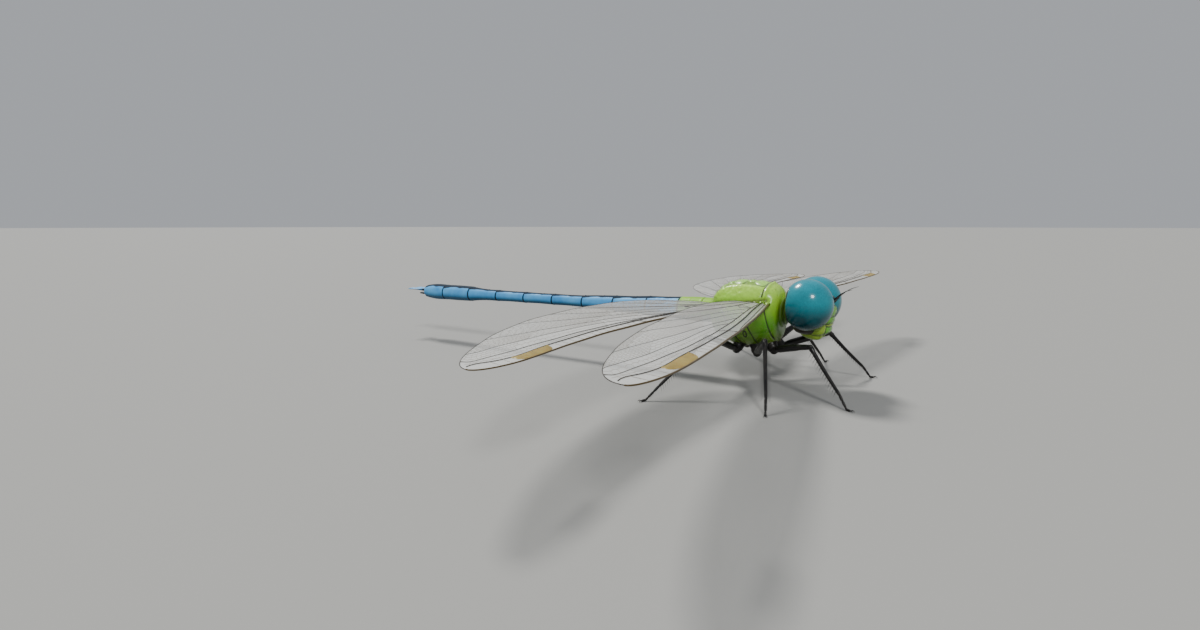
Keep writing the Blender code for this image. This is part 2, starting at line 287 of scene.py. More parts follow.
# middle (out, back, up), half sizes (out, back, up), nod in degrees, colour
HEAD_PLATES = (
    ((0.0, 0.2, 9.6), (2.2, 2.0, 2.85), 0.0, REAR_DARK),              # core
    ((0.0, -1.68, 10.0), (1.82, 1.24, 1.0), 8.0, FACE_GREEN),         # forehead
    ((0.0, -1.6, 8.98), (1.9, 1.16, 0.8), 0.0, FACE_GREEN),           # upper nose plate
    ((0.0, -1.46, 8.32), (1.47, 1.12, 0.5), 0.0, FACE_YELLOW),        # lower nose plate
    ((0.0, -1.2, 7.58), (1.75, 1.3, 0.8), -14.0, FACE_GREEN),         # upper lip
    ((1.5, -0.98, 7.92), (0.7, 1.12, 0.98), 0.0, FACE_YELLOW),        # jaw
    ((0.9, -0.3, 7.12), (0.88, 1.4, 0.78), 12.0, FACE_YELLOW),        # lobe of the lower lip
    ((0.0, 0.0, 7.02), (0.7, 1.45, 0.72), 12.0, LIP_BROWN),           # lower lip
    ((1.5, 0.35, 8.05), (1.0, 1.5, 1.05), 0.0, REAR_DARK),            # cheek
    ((0.0, -2.2, 11.38), (0.62, 0.5, 0.5), 0.0, FACE_GREEN),          # crown
    ((0.0, 1.85, 12.3), (0.52, 0.36, 0.36), 20.0, FACE_YELLOW),       # nape
    ((2.36, 2.06, 10.78), (2.28, 0.32, 2.32), 0.0, REAR_DARK),        # rear wall
    ((0.0, 2.05, 9.75), (1.2, 0.5, 1.3), 0.0, REAR_DARK),             # rim of the neck
)


def modified(mesh, kind, settings, inputs=()):
    """Run one modifier on a mesh and keep the result as a plain mesh."""
    draft = bpy.data.objects.new("draft", mesh)
    bpy.context.scene.collection.objects.link(draft)
    modifier = draft.modifiers.new("once", kind)
    for key, value in settings.items():
        setattr(modifier, key, value)
    for key, value in inputs:
        modifier[key] = value
    draft.update_tag()
    done = bpy.data.meshes.new_from_object(draft.evaluated_get(bpy.context.evaluated_depsgraph_get()))
    bpy.data.objects.remove(draft)
    return done


def mark(shape, name, measure):
    """Note a number at every point of a skin, for its material to read."""
    layer = shape.verts.layers.float.new(name)
    for vert in shape.verts:
        vert[layer] = measure(vert.co)


def bump_at(value, middle, width):
    """A smooth hump of height 1."""
    return exp(-((value - middle) / width) ** 2)


def rise(value, low, high):
    """A smooth step from 0 at low to 1 at high."""
    share = min(max((value - low) / (high - low), 0.0), 1.0)
    return share * share * (3.0 - 2.0 * share)


def squarish(place):
    """Distance from the middle of a plate, counted so that a plate is a ball with flattened sides."""
    return sum(abs(number) ** PLATE_SQUARENESS for number in place) ** (1.0 / PLATE_SQUARENESS)


plates = []
clump = bmesh.new()
for (out, back, up), half, nod, colour in HEAD_PLATES:
    for hand in (1.0, -1.0) if out > 0.0 else (1.0,):
        pose = Matrix.Translation((hand * out, back, up)) @ Matrix.Rotation(radians(nod), 4, "X")
        pose = pose @ Matrix.Diagonal((*half, 1.0))
        for vert in bmesh.ops.create_icosphere(clump, subdivisions=4, radius=1.0)["verts"]:
            vert.co = pose @ (vert.co / squarish(vert.co))
        plates.append((pose.inverted(), min(half), colour))
head = bmesh.new()
head.from_mesh(modified(as_mesh("head", clump), "REMESH", {"mode": "VOXEL", "voxel_size": HEAD_VOXEL}))
for _ in range(4):
    bmesh.ops.smooth_vert(head, verts=head.verts, factor=0.5,
                          use_axis_x=True, use_axis_y=True, use_axis_z=True)
bmesh.ops.recalc_face_normals(head, faces=head.faces)

tint = head.verts.layers.float_color.new("plate_colour")
seam = head.verts.layers.float.new("seam")
head.normal_update()
for vert in head.verts:
    reach = [(squarish(pose @ vert.co) - 1.0) * size for pose, size, _ in plates]
    nearest, second = sorted(range(len(plates)), key=reach.__getitem__)[:2]
    vert[seam] = exp(-((reach[second] - reach[nearest]) / SUTURE_WIDTH) ** 2)
    vert[tint] = (*plates[nearest][2], 1.0)
for vert in head.verts:
    vert.co -= vert.normal * SUTURE_DEPTH * vert[seam]


def face_marks(place):
    """The dark five-sided mark on the forehead, the dark crown and the dark rim of the upper lip."""
    pentagon = min(0.62, 0.62 * (place.y + 2.9) / 0.5) - abs(place.x)
    band = (place.y + 2.3) * 1.2 - 0.18 * abs(place.x)
    forehead = min(max(pentagon, band), place.z - 10.45)
    crown = min(place.z - 10.75, place.y + 2.75)
    lip = rise(7.28 - 0.12 * place.x * place.x - place.z, -0.1, 0.12) * rise(-1.62 - place.y, 0.0, 0.25)
    return max(rise(min(max(forehead, crown), -1.0 - place.y), -0.12, 0.12), lip)


mark(head, "dark_mark", face_marks)

face = Finish("head cuticle", {"Coat Weight": 0.35, "Coat Roughness": 0.16})
mottle = face.noise(1400.0, 4.0)
pits = face.cells(9000.0)
face.paint(face.noted("plate_colour", "Color"))
face.tint((0.50, 0.58, 0.10), mottle, 0.3, 0.7, 0.0, 0.45, "SOFT_LIGHT")
face.tint((0.10, 0.09, 0.02), pits, 0.0, 0.3, 0.25, 0.0)
face.tint((0.020, 0.016, 0.008), face.noted("seam"), 0.25, 0.8, 0.0, 0.9)
face.tint((0.008, 0.008, 0.009), face.ragged("dark_mark", mottle, 0.18), 0.42, 0.58)
face.rough(mottle, 0.26, 0.42)
face.relief(pits, 0.02, 0.35)

piece = settle("head_plates", head, face)
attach(piece, "root")
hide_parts("head")

# Three simple eyes, clear domes set in the crown: one in front and one to each side.
# out, back, up, radius
SIMPLE_EYES = ((0.0, -2.66, 11.42, 0.2), (0.46, -2.34, 11.66, 0.15), (-0.46, -2.34, 11.66, 0.15))

ocellus = Finish("simple eye", {"Roughness": 0.08, "Coat Weight": 1.0})
ocellus.paint(ocellus.ramp(ocellus.noise(2500.0, 2.0), (0.3, (0.10, 0.07, 0.03)), (0.7, (0.32, 0.26, 0.16))))
domes = bmesh.new()
for out, back, up, radius in SIMPLE_EYES:
    pose = Matrix.Translation((out, back, up))
    bmesh.ops.create_icosphere(domes, subdivisions=3, radius=radius, matrix=pose)
piece = settle("simple_eyes", domes, ocellus)
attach(piece, "root")

# ---- Antennae ----
# Two short stiff bristles between the eyes. Each stands on two thick black joints and thins out
# to a hair.
ANTENNA_ROOT = (0.56, -2.42, 11.05)
ANTENNA_TIP = (2.3, -5.0, 12.95)
ANTENNA_BOW = 0.35
# share of the length, radius
ANTENNA_JOINTS = ((0.0, 0.2), (0.05, 0.23), (0.1, 0.2), (0.115, 0.14), (0.13, 0.17), (0.2, 0.16),
                  (0.22, 0.085), (0.235, 0.09), (0.45, 0.065), (0.46, 0.05), (0.47, 0.06),
                  (0.7, 0.045), (0.71, 0.034), (0.72, 0.042), (1.0, 0.018))
UPRIGHT = Vector((0.0, 0.0, 1.0))


def turns(count):
    """Angles in equal steps round a circle."""
    return [2.0 * pi * i / count for i in range(count)]


def lofted(rows, ends=None):
    """A closed skin through rings of points, shut at both ends."""
    shape = bmesh.new()
    rings = [[shape.verts.new(point) for point in row] for row in rows]
    around = len(rows[0])
    for near, far in zip(rings, rings[1:]):
        for i in range(around):
            j = (i + 1) % around
            shape.faces.new((near[i], near[j], far[j], far[i]))
    for k in (0, -1):
        middle = ends[k] if ends else sum((vert.co for vert in rings[k]), Vector()) / around
        middle = shape.verts.new(middle)
        for i in range(around):
            shape.faces.new((rings[k][i], rings[k][(i + 1) % around], middle))
    return shape


def swept(points, radii, sides):
    """A closed round tube along a path, with its own radius at each point."""
    rows = []
    over = None
    for i, point in enumerate(points):
        along = (points[min(i + 1, len(points) - 1)] - points[max(i - 1, 0)]).normalized()
        if over is None:
            over = UPRIGHT if abs(along.z) < 0.95 else Vector((0.0, 1.0, 0.0))
        over = (over - along * over.dot(along)).normalized()
        sideways = along.cross(over)
        rows.append([point + (sideways * cos(angle) + over * sin(angle)) * radii[i]
                     for angle in turns(sides)])
    return lofted(rows, points)


black = Finish("black cuticle", {"Coat Weight": 0.06, "Coat Roughness": 0.2, "Specular IOR Level": 0.28})
grain = black.noise(2200.0, 4.0)
black.paint(black.ramp(grain, (0.35, (0.004, 0.004, 0.005)), (0.75, (0.018, 0.015, 0.012))))
black.rough(grain, 0.28, 0.5)
black.relief(grain, 0.03, 0.4)

for side, word in SIDES:
    root = Vector((side * ANTENNA_ROOT[0], *ANTENNA_ROOT[1:]))
    tip = Vector((side * ANTENNA_TIP[0], *ANTENNA_TIP[1:]))
    path = [root.lerp(tip, share) + UPRIGHT * ANTENNA_BOW * sin(pi * share) for share, _ in ANTENNA_JOINTS]
    piece = settle("antenna_" + word + "_bristle", swept(path, [r for _, r in ANTENNA_JOINTS], 12), black)
    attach(piece, "root")
    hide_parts("antenna_" + word)

# ---- Thorax ----
# The box of flight muscle: hard plates with thin black seams, one keel down the front, wing
# hinges in a soft groove along each side, and small raised plates on the back between the
# wings. A narrow collar joins it to the head. Its skin is satin apple green, with painted shade darkening it
# toward the bottom and painted light making it paler and yellower on top.
THORAX_SPAN = (3.55, 12.66)
THORAX_WIDE = 4.25
THORAX_TOP = 13.45
THORAX_BOTTOM = 4.62
THORAX_FRONT_OVAL = (1.9, 1.9, 9.3)         # half width, half height, middle's height
THORAX_REAR_OVAL = (1.75, 1.75, 8.85)
THORAX_BLUNTNESS = (2.8, 2.1)
THORAX_SLANT = 0.05
THORAX_RINGS = 150
THORAX_SIDES = 240
# side seams as (back, up) at the wings and at the legs, with their width
SIDE_SEAMS = (
    ((5.2, 11.0), (3.95, 5.6), 0.11),
    ((8.15, 10.6), (5.9, 5.0), 0.10),
    ((10.9, 10.15), (8.0, 4.8), 0.12),
)
LOW_SEAM = ((3.7, 7.2), (11.2, 6.0))
HINGE_LINE = ((4.3, 11.2), (12.3, 10.1))
# middle along the back, half length and half width of each small plate between the wings
BACK_PLATES = ((6.35, 0.95, 1.75), (7.75, 0.48, 0.95), (9.25, 1.0, 1.6), (10.75, 0.5, 0.9), (11.75, 0.5, 1.3))
BACK_FROM_UP = 11.0         # the small plates and their trough lie above this height
FRONT_RIDGE = 4.95          # where the cross ridge in front of the wings meets the midline
AIR_HOLE = (7.4, 6.6)
LEG_SOCKETS = (4.7, 6.8, 8.9)


def blend(start, end, share):
    """A number on the way from one to another."""
    return start + (end - start) * share


def oval(middle, half_width, half_height, sides, power):
    """A ring across the body, from its left side up and over: an ellipse where power is 2."""
    ring = []
    for angle in turns(sides):
        c, s = cos(angle), sin(angle)
        reach = (abs(c) ** power + abs(s) ** power) ** (-1.0 / power)
        ring.append(Vector((half_width * reach * c, middle[0], middle[1] + half_height * reach * s)))
    return ring


def from_line(y, z, start, end):
    """Distance of a place on the side from a straight line between two (back, up) points."""
    run, lift = end[0] - start[0], end[1] - start[1]
    share = ((y - start[0]) * run + (z - start[1]) * lift) / (run * run + lift * lift)
    share = min(max(share, 0.0), 1.0)
    return hypot(y - start[0] - share * run, z - start[1] - share * lift)


def thorax_rows():
    """Fine ovals from the collar over the muscle box to the waist."""
    front, rear = THORAX_SPAN
    rows = []
    for step in range(THORAX_RINGS + 1):
        share = -cos(pi * step / THORAX_RINGS)
        end = THORAX_FRONT_OVAL if share < 0.0 else THORAX_REAR_OVAL
        power = THORAX_BLUNTNESS[0 if share < 0.0 else 1]
        fullness = max(0.0, 1.0 - abs(share) ** power) ** (1.0 / power)
        half_width = blend(end[0], THORAX_WIDE, fullness)
        half_height = blend(end[1], 0.5 * (THORAX_TOP - THORAX_BOTTOM), fullness)
        middle = blend(end[2], 0.5 * (THORAX_TOP + THORAX_BOTTOM), fullness)
        back = 0.5 * (front + rear) + share * 0.5 * (rear - front)
        row = oval((back, middle), half_width, half_height, THORAX_SIDES, 2.15)
        rows.append([p + Vector((0.0, (p.z - middle) * THORAX_SLANT * fullness, 0.0)) for p in row])
    return rows


def back_plates(place):
    """How far inside a small back plate a place is: 0 on its rim, 1 at its middle."""
    if place.z < BACK_FROM_UP:
        return -1.0
    inside = []
    for middle, long, wide in BACK_PLATES:
        along = (place.y - middle) / long
        across = abs(place.x) / wide * (1.0 + 0.30 * min(max(along, -1.0), 1.0))
        inside.append(1.0 - (across ** 2.6 + abs(along) ** 2.6) ** (1.0 / 2.6))
    return max(inside)


def thorax_seams(place):
    """1 on a seam between plates, falling to 0 beside it."""
    out, y, z = abs(place.x), place.y, place.z
    side = rise(out, 1.2, 2.2)
    found = [side * bump_at(from_line(y, z, top, foot), 0.0, width) for top, foot, width in SIDE_SEAMS]
    found.append(0.54 * side * bump_at(from_line(y, z, *LOW_SEAM), 0.0, 0.08)
                 * rise(z, 5.0, 5.6) * rise(-abs(y - 6.4), -2.3, -1.9))
    plate = back_plates(place)
    if -0.5 < plate < 0.5:
        found.append(0.85 * bump_at(plate, 0.0, 0.07))
    if z > 10.9 and out < 3.4:
        found.append(bump_at(y, FRONT_RIDGE + 0.1 * out + 0.2, 0.13))
    if y < 5.1 and z > 8.0:
        found.append(bump_at(out, 0.0, 0.07) * rise(5.1 - y, 0.0, 0.3))
    hole = hypot((y - AIR_HOLE[0]) / 0.22, (z - AIR_HOLE[1]) / 0.42)
    found.append(side * bump_at(hole, 1.0, 0.35))
    return max(found)


def hinge_groove(place):
    """1 along the soft groove that the wings stand in."""
    along = rise(place.y, 4.2, 5.0) * rise(12.4 - place.y, 0.0, 0.8)
    return along * bump_at(from_line(place.y, place.z, *HINGE_LINE), 0.0, 0.42) * rise(abs(place.x), 1.6, 2.4)


def back_trough(place):
    """1 in the sunk middle of the back between the wings, outside the small plates."""
    if place.z < BACK_FROM_UP:
        return 0.0
    inside = rise(place.y, 5.2, 5.8) * rise(12.6 - place.y, 0.0, 0.5) * rise(2.5 - abs(place.x), 0.0, 0.6)
    return inside * rise(-back_plates(place), 0.0, 0.06)


def thorax_height(place):
    """The plates' relief on the plain muscle box."""
    out, y, z = abs(place.x), place.y, place.z
    height = -0.09 * thorax_seams(place) - 0.26 * hinge_groove(place)
    plate = back_plates(place)
    if plate > 0.0:
        height += 0.15 * (1.0 - (1.0 - plate) ** 2) - 0.06 * bump_at(out, 0.0, 0.16)
    if z > BACK_FROM_UP:
        trough = rise(y, 5.2, 5.8) * rise(12.6 - y, 0.0, 0.5)
        height += trough * (0.12 * bump_at(out, 2.6, 0.35) - 0.22 * rise(2.4 - out, 0.0, 0.8))
        if plate < 0.0:
            height += 0.05 * trough * noise.noise(place * 2.6)
    if z > 10.9 and out < 3.6:
        height += 0.16 * bump_at(y, FRONT_RIDGE + 0.1 * out, 0.22)
    if y < 5.0 and z > 8.0:
        height += 0.12 * bump_at(out, 0.0, 0.28)
    if z < 6.6:
        for socket in LEG_SOCKETS:
            height += 0.14 * bump_at(y, socket, 0.75) * bump_at(out, 1.5, 0.9)
            height -= 0.10 * bump_at(y, socket + 1.05, 0.22) * rise(3.4 - out, 0.0, 1.0)
    return height + 0.05 * noise.noise(place * 0.55)


thorax = lofted(thorax_rows())
mark(thorax, "seam", thorax_seams)
mark(thorax, "hinge", hinge_groove)
mark(thorax, "back_plate", lambda place: rise(back_plates(place), -0.25, -0.02))
mark(thorax, "trough", back_trough)
bmesh.ops.recalc_face_normals(thorax, faces=thorax.faces)
thorax.normal_update()
moves = [vert.normal * thorax_height(vert.co) for vert in thorax.verts]
for vert, move in zip(thorax.verts, moves):
    vert.co += move

green = Finish("green cuticle", {
    "Coat Weight": 0.25, "Coat Roughness": 0.18, "Specular IOR Level": 0.4, "Subsurface Weight": 0.12,
    "Subsurface Radius": (0.0006, 0.0008, 0.0002), "Subsurface Scale": 0.5})
cloud = green.noise(330.0, 4.0)
pits = green.cells(6500.0)
# Painted shade and light: the green is ramped by height, near black-green low on the sides as painted shade
# and pale yellow-green on top as painted light.
painted_shade_height = green.spread(green.height(), 5.0 * MM, 13.3 * MM)
green.paint(green.ramp(painted_shade_height, (0.0, (0.032, 0.11, 0.003)), (0.4, (0.080, 0.30, 0.008)),
                       (0.75, (0.34, 0.70, 0.040)), (1.0, (0.50, 0.84, 0.110))))
green.tint((0.36, 0.52, 0.04), cloud, 0.35, 0.75, 0.0, 0.35)
green.tint((0.08, 0.16, 0.01), pits, 0.0, 0.25, 0.22, 0.0)
green.tint((0.10, 0.085, 0.035), green.noted("hinge"), 0.35, 0.9, 0.0, 0.75)
green.tint((0.05, 0.36, 0.22), green.noted("back_plate"), 0.3, 0.9, 0.0, 0.22)
green.tint((0.045, 0.15, 0.012), green.noted("trough"), 0.0, 1.0, 0.0, 0.55)
green.tint((0.014, 0.012, 0.006), green.ragged("seam", cloud, 0.15), 0.35, 0.75, 0.0, 0.92)
green.rough(cloud, 0.27, 0.4)
green.relief(pits, 0.02, 0.3)
green.relief(cloud, 0.12, 0.25)

piece = settle("thorax_plates", thorax, green)
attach(piece, "root")
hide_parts("thorax")

# The collar has a smooth neck in front and two raised lobes behind it.
COLLAR_SPAN = (2.3, 3.75)
# share of the length, half width, half height, middle's height
COLLAR_SHAPE = ((0.0, 0.8, 0.95, 9.75), (0.28, 0.95, 1.1, 9.7), (0.40, 1.45, 1.6, 9.55),
                (0.52, 1.62, 1.75, 9.5), (0.60, 1.5, 1.62, 9.45), (0.72, 1.95, 1.95, 9.4),
                (0.86, 2.0, 2.0, 9.35), (1.0, 1.8, 1.85, 9.3))
COLLAR_FOLDS = ((3.16, 0.05), (2.82, 0.06))     # where along the back, and how wide


def shares(count):
    """Equal steps from 0 to 1."""
    return [i / count for i in range(count + 1)]


def between(rows, share):
    """Read a table of (share, numbers...) at a share, with smooth turns."""
    starts = [row[0] for row in rows]
    last = max(i for i, start in enumerate(starts[:-1]) if share >= start or i == 0)
    local = rise(share, starts[last], starts[last + 1])
    return [blend(a, b, local) for a, b in zip(rows[last][1:], rows[last + 1][1:])]


rows = []
for share in shares(48):
    half_width, half_height, up = between(COLLAR_SHAPE, share)
    rows.append(oval((blend(*COLLAR_SPAN, share), up), half_width, half_height, 96, 2.0))
collar = lofted(rows)
mark(collar, "seam", lambda place: max(bump_at(place.y, *fold) for fold in COLLAR_FOLDS))
mark(collar, "hinge", lambda place: max(0.62, rise(2.78 - place.y, 0.0, 0.2)))
piece = settle("collar", collar, green)
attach(piece, "root")
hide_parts("prothorax")

# ---- Abdomen ----
# Ten hard tubes, each with its rear lip over the front of the next. The first is green and fills
# from the waist; the rest are sky blue with a black line down the back that widens at a cross
# ridge and at each rear lip. The claspers at the tip are blue leaf-shaped blades on dark roots.
ABDOMEN_FRONT = 12.3        # inside the thorax
ABDOMEN_WAIST = 12.77
ABDOMEN_WAIST_UP = 8.87
ABDOMEN_TIP_UP = 8.25
ABDOMEN_ENDS = (18.0, 23.1, 28.8, 34.5, 40.3, 46.1, 52.1, 58.2, 64.4, 69.7)
ABDOMEN_RADII = (1.62, 1.46, 1.22, 0.95, 0.92, 0.93, 0.97, 1.30, 1.34, 1.05)
ABDOMEN_FRONT_RADIUS = 1.68
TUBE_OVERLAP = 0.22
NARROWING = 0.05            # of a tube between its two ends
SWELLING = {1: 0.07, 4: 0.02, 8: -0.13, 9: 0.04, 10: 0.2}
TUBE_RINGS = 72
TUBE_SIDES = 72
CROSS_RIDGE = 0.38          # share of the tube's length in front of the cross ridge
WAIST_FOLD = 0.36           # the same on the first tube, which stands for two
GREEN_TO_BLUE = (17.55, 18.5)


def abdomen_up(back):
    """Height of the abdomen's middle line."""
    share = (back - ABDOMEN_WAIST) / (ABDOMEN_ENDS[-1] - ABDOMEN_WAIST)
    return blend(ABDOMEN_WAIST_UP, ABDOMEN_TIP_UP, share)


def tube_radius(number, share):
    """Radius of a tube along its length: its plain form with a lip, a neck and a cross ridge."""
    front = ABDOMEN_FRONT_RADIUS if number == 1 else ABDOMEN_RADII[number - 2]
    radius = blend(front, ABDOMEN_RADII[number - 1], share)
    radius += SWELLING.get(number, -NARROWING) * sin(pi * share)
    if number < 10:
        radius += 0.035 * bump_at(share, 0.965, 0.025) - 0.12 * rise(share, 0.978, 1.0)
    else:
        radius -= 0.35 * rise(share, 0.9, 1.0) ** 2
    if number == 1:
        radius -= 0.05 * bump_at(share, WAIST_FOLD, 0.012) - 0.03 * bump_at(share, 0.40, 0.02)
        radius += 0.03 * bump_at(share, 0.70, 0.012)
    else:
        radius -= 0.05 * rise(-share, -0.045, -0.01)
    if 1 < number < 9:
        radius += 0.022 * bump_at(share, CROSS_RIDGE, 0.012)
        radius -= 0.014 * bump_at(share, CROSS_RIDGE + 0.03, 0.02)
    return radius


def black_half(number, share):
    """Half the width of the black line on a tube's back, as an angle."""
    half = 0.60 + 0.07 * bump_at(share, CROSS_RIDGE, 0.075) + 0.22 * rise(share, 0.72, 1.0)
    half += 0.05 * bump_at(share, 0.80, 0.05) - 0.05 * bump_at(share, 0.55, 0.12)
    return half * (0.75 if number == 2 else 1.15 if number > 8 else 1.0)


def black_on_tube(number, share, from_top):
    """How black a tube is, from -1 to 1: its line, the rings at its ends and its under side."""
    marks = [-1.0]
    if number > 1:
        marks += [(black_half(number, share) - from_top) / 0.16, (0.05 - share) / 0.012]
    else:
        marks.append(0.9 - abs(share - WAIST_FOLD) / 0.008)
    if number < 10:
        marks.append((share - 0.964) / 0.012)
    under = (from_top - (2.62 if number > 1 else 2.9)) / 0.2
    return max(min(max(marks), 1.0), 0.8 * min(under, 1.0))


def tube_skin(number):
    """One tube, with how black and how blue it is at each point, and how dark its lower side is painted:
    partly its own darker under side, partly painted shade.
    """
    front = ABDOMEN_FRONT if number == 1 else ABDOMEN_ENDS[number - 2] - TUBE_OVERLAP
    rows, notes = [], []
    for share in shares(TUBE_RINGS):
        back = blend(front, ABDOMEN_ENDS[number - 1], share)
        radius = tube_radius(number, share)
        row = oval((back, abdomen_up(back)), radius * 1.02, radius, TUBE_SIDES, 2.1)
        middle = Vector((0.0, back, abdomen_up(back)))
        for angle, point in zip(turns(TUBE_SIDES), row):
            from_top = abs(angle - 0.5 * pi)
            from_top = min(from_top, 2.0 * pi - from_top)
            keel = 0.03 * bump_at(from_top, 0.0, 0.13) if number > 1 else 0.0
            side_fold = -0.055 * bump_at(from_top, 2.2, 0.10)
            belly = -0.10 * bump_at(from_top, pi, 0.42)
            point += (point - middle).normalized() * (keel + side_fold + belly)
            notes.append((0.5 + 0.5 * black_on_tube(number, share, from_top), rise(back, *GREEN_TO_BLUE),
                          rise(from_top, 1.3, 2.3)))
        rows.append(row)
    skin = lofted(rows)
    notes += [(1.0, 1.0, 0.0)] * 2      # the middles of its two shut ends
    for k, name in enumerate(("dark_mark", "blue", "belly")):
        layer = skin.verts.layers.float.new(name)
        for vert, note in zip(skin.verts, notes):
            vert[layer] = note[k]
    return skin


blue = Finish("blue cuticle", {"Specular IOR Level": 0.16})
cloud = blue.noise(420.0, 5.0)
fine = blue.noise(2600.0, 3.0)
pits = blue.cells(7000.0)
patches = blue.spread(cloud, 0.3, 0.72)
sky = blue.mix(patches, (0.052, 0.30, 0.68), (0.125, 0.48, 0.88))
leaf = blue.mix(patches, (0.18, 0.42, 0.014), (0.30, 0.55, 0.035))
blue.paint(blue.mix(blue.noted("blue"), leaf, sky))
# Darker lower flanks: partly the abdomen's own darker under side, partly painted shade.
blue.tint((0.008, 0.045, 0.080), blue.noted("belly"), 0.0, 1.0, 0.0, 0.9)
blue.tint((0.01, 0.04, 0.08), pits, 0.0, 0.25, 0.25, 0.0)
dark = blue.spread(blue.ragged("dark_mark", fine, 0.035), 0.42, 0.60, 0.0, 0.97)
blue.paint(blue.mix(dark, blue.colour, (0.005, 0.011, 0.020)))
dull = blue.mix(dark, blue.spread(fine, 0.3, 0.7, 0.40, 0.55), (0.85, 0.85, 0.85))
set_inputs(blue.shader, {"Roughness": dull})
blue.relief(pits, 0.018, 0.3)
blue.relief(cloud, 0.10, 0.2)

for number in range(1, 11):
    piece = settle(f"abdomen_{number:02d}_tube", tube_skin(number), blue)
    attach(piece, "root")
    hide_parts(f"abdomen_{number:02d}")

CLASPER_LENGTH = 4.05
# share of the length, half width, half thickness, drift from the midline, lift
CLASPER_SHAPE = ((0.0, 0.20, 0.22, 0.50, -0.05), (0.12, 0.22, 0.20, 0.52, 0.0),
                 (0.45, 0.44, 0.13, 0.70, 0.08), (0.75, 0.50, 0.11, 0.86, 0.10),
                 (0.93, 0.34, 0.09, 0.92, 0.06), (1.0, 0.08, 0.05, 0.90, 0.02))
LOWER_BLADE_LENGTH = 1.9
# share of the length, half width, half thickness
LOWER_BLADE = ((0.0, 0.42, 0.2), (0.4, 0.5, 0.2), (0.85, 0.4, 0.16), (1.0, 0.2, 0.08))


def root_and_rim(place):
    """The dark root of a clasper and the dark line along both of its edges."""
    share = (place.y - ABDOMEN_ENDS[-1]) / CLASPER_LENGTH
    half_width, _, drift, _ = between(CLASPER_SHAPE, min(max(share, 0.0), 1.0))
    edge = abs(abs(place.x) - drift) / half_width
    return max(rise(0.2 - share, 0.0, 0.08), 0.9 * rise(edge, 0.86, 0.97))


clasper = Finish("clasper cuticle", {"Specular IOR Level": 0.16})
grain = clasper.noise(1800.0, 4.0)
sky = clasper.mix(clasper.spread(grain, 0.3, 0.75), (0.06, 0.31, 0.66), (0.16, 0.50, 0.86))
clasper.paint(clasper.mix(clasper.noted("dark_mark"), sky, (0.006, 0.012, 0.020)))
clasper.rough(grain, 0.4, 0.6)
clasper.relief(grain, 0.04, 0.4)

for side, word in SIDES:
    rows = []
    for share in shares(40):
        half_width, half_thick, drift, lift = between(CLASPER_SHAPE, share)
        row = []
        for angle in turns(32):
            keel = 0.12 * bump_at(angle, 0.5 * pi, 0.35) * sin(pi * share)
            row.append(Vector((side * drift + half_width * cos(angle),
                               ABDOMEN_ENDS[-1] - 0.05 + CLASPER_LENGTH * share,
                               ABDOMEN_TIP_UP + 0.25 + lift + half_thick * sin(angle) + keel)))
        rows.append(row)
    blade = lofted(rows)
    mark(blade, "dark_mark", root_and_rim)
    piece = settle("clasper_" + word, blade, clasper)
    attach(piece, "root")
    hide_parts("cercus_" + word)
rows = []
for share in shares(24):
    half_width, half_thick = between(LOWER_BLADE, share)
    rows.append(oval((ABDOMEN_ENDS[-1] - 0.1 + LOWER_BLADE_LENGTH * share, ABDOMEN_TIP_UP - 0.42),
                     half_width, half_thick, 24, 2.2))
blade = lofted(rows)
mark(blade, "dark_mark", lambda place: 1.0)
piece = settle("lower_blade", blade, clasper)
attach(piece, "root")
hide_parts("epiproct")

# ---- Wings ----
# Four clear stiff films, thinner than paper, pleated like a fan behind the leading edge and held
# out by a net of dark hollow veins. Strong ribs run from the root, finer ones branch off to the
# trailing edge, and short ties join them into cells. A thick coloured cell weighs each tip.
TIP_ROUNDED_FROM = 0.84
FORE_WING = dict(root=(2.7, 4.7, 10.7), tip_out=49.4, tip_up=11.85, sweep=-10.1, curve=3.2, droop=1.4,
                 chord=8.05, widest=0.38, base=0.3, filling=0.58, tip_power=2.28, incidence=2.4)
HIND_WING = dict(root=(2.6, 9.6, 10.0), tip_out=47.9, tip_up=10.2, sweep=9.8, curve=-8.5, droop=2.1,
                 chord=9.95, widest=0.24, base=0.42, filling=0.76, tip_power=2.06, incidence=4.0)
FILM_THICKNESS = 0.024
FILM_ALONG = 190
FILM_ACROSS = 60
FILM_FOLDS = (0.0, 0.1, 0.22, 0.32, 0.46, 1.0)      # shares of the rows that lie on the folds
PLEAT_HEIGHT = 0.15
RIPPLE = 0.05
CELL_WIDTH = 1.0            # a row of cells wider than this is parted by a new fine rib
CELL_SHAPE = 0.95           # length of a cell against its width
CELL_LENGTHS = (0.42, 1.25)
LADDER_SHAPE = 1.1          # the same for the single rows behind the leading edge
LADDER_LENGTHS = (0.9, 1.7)
ZIGZAG = 0.14               # how far the ties pull a fine rib out of line
NET_END = 0.985
RIB_END = 0.998

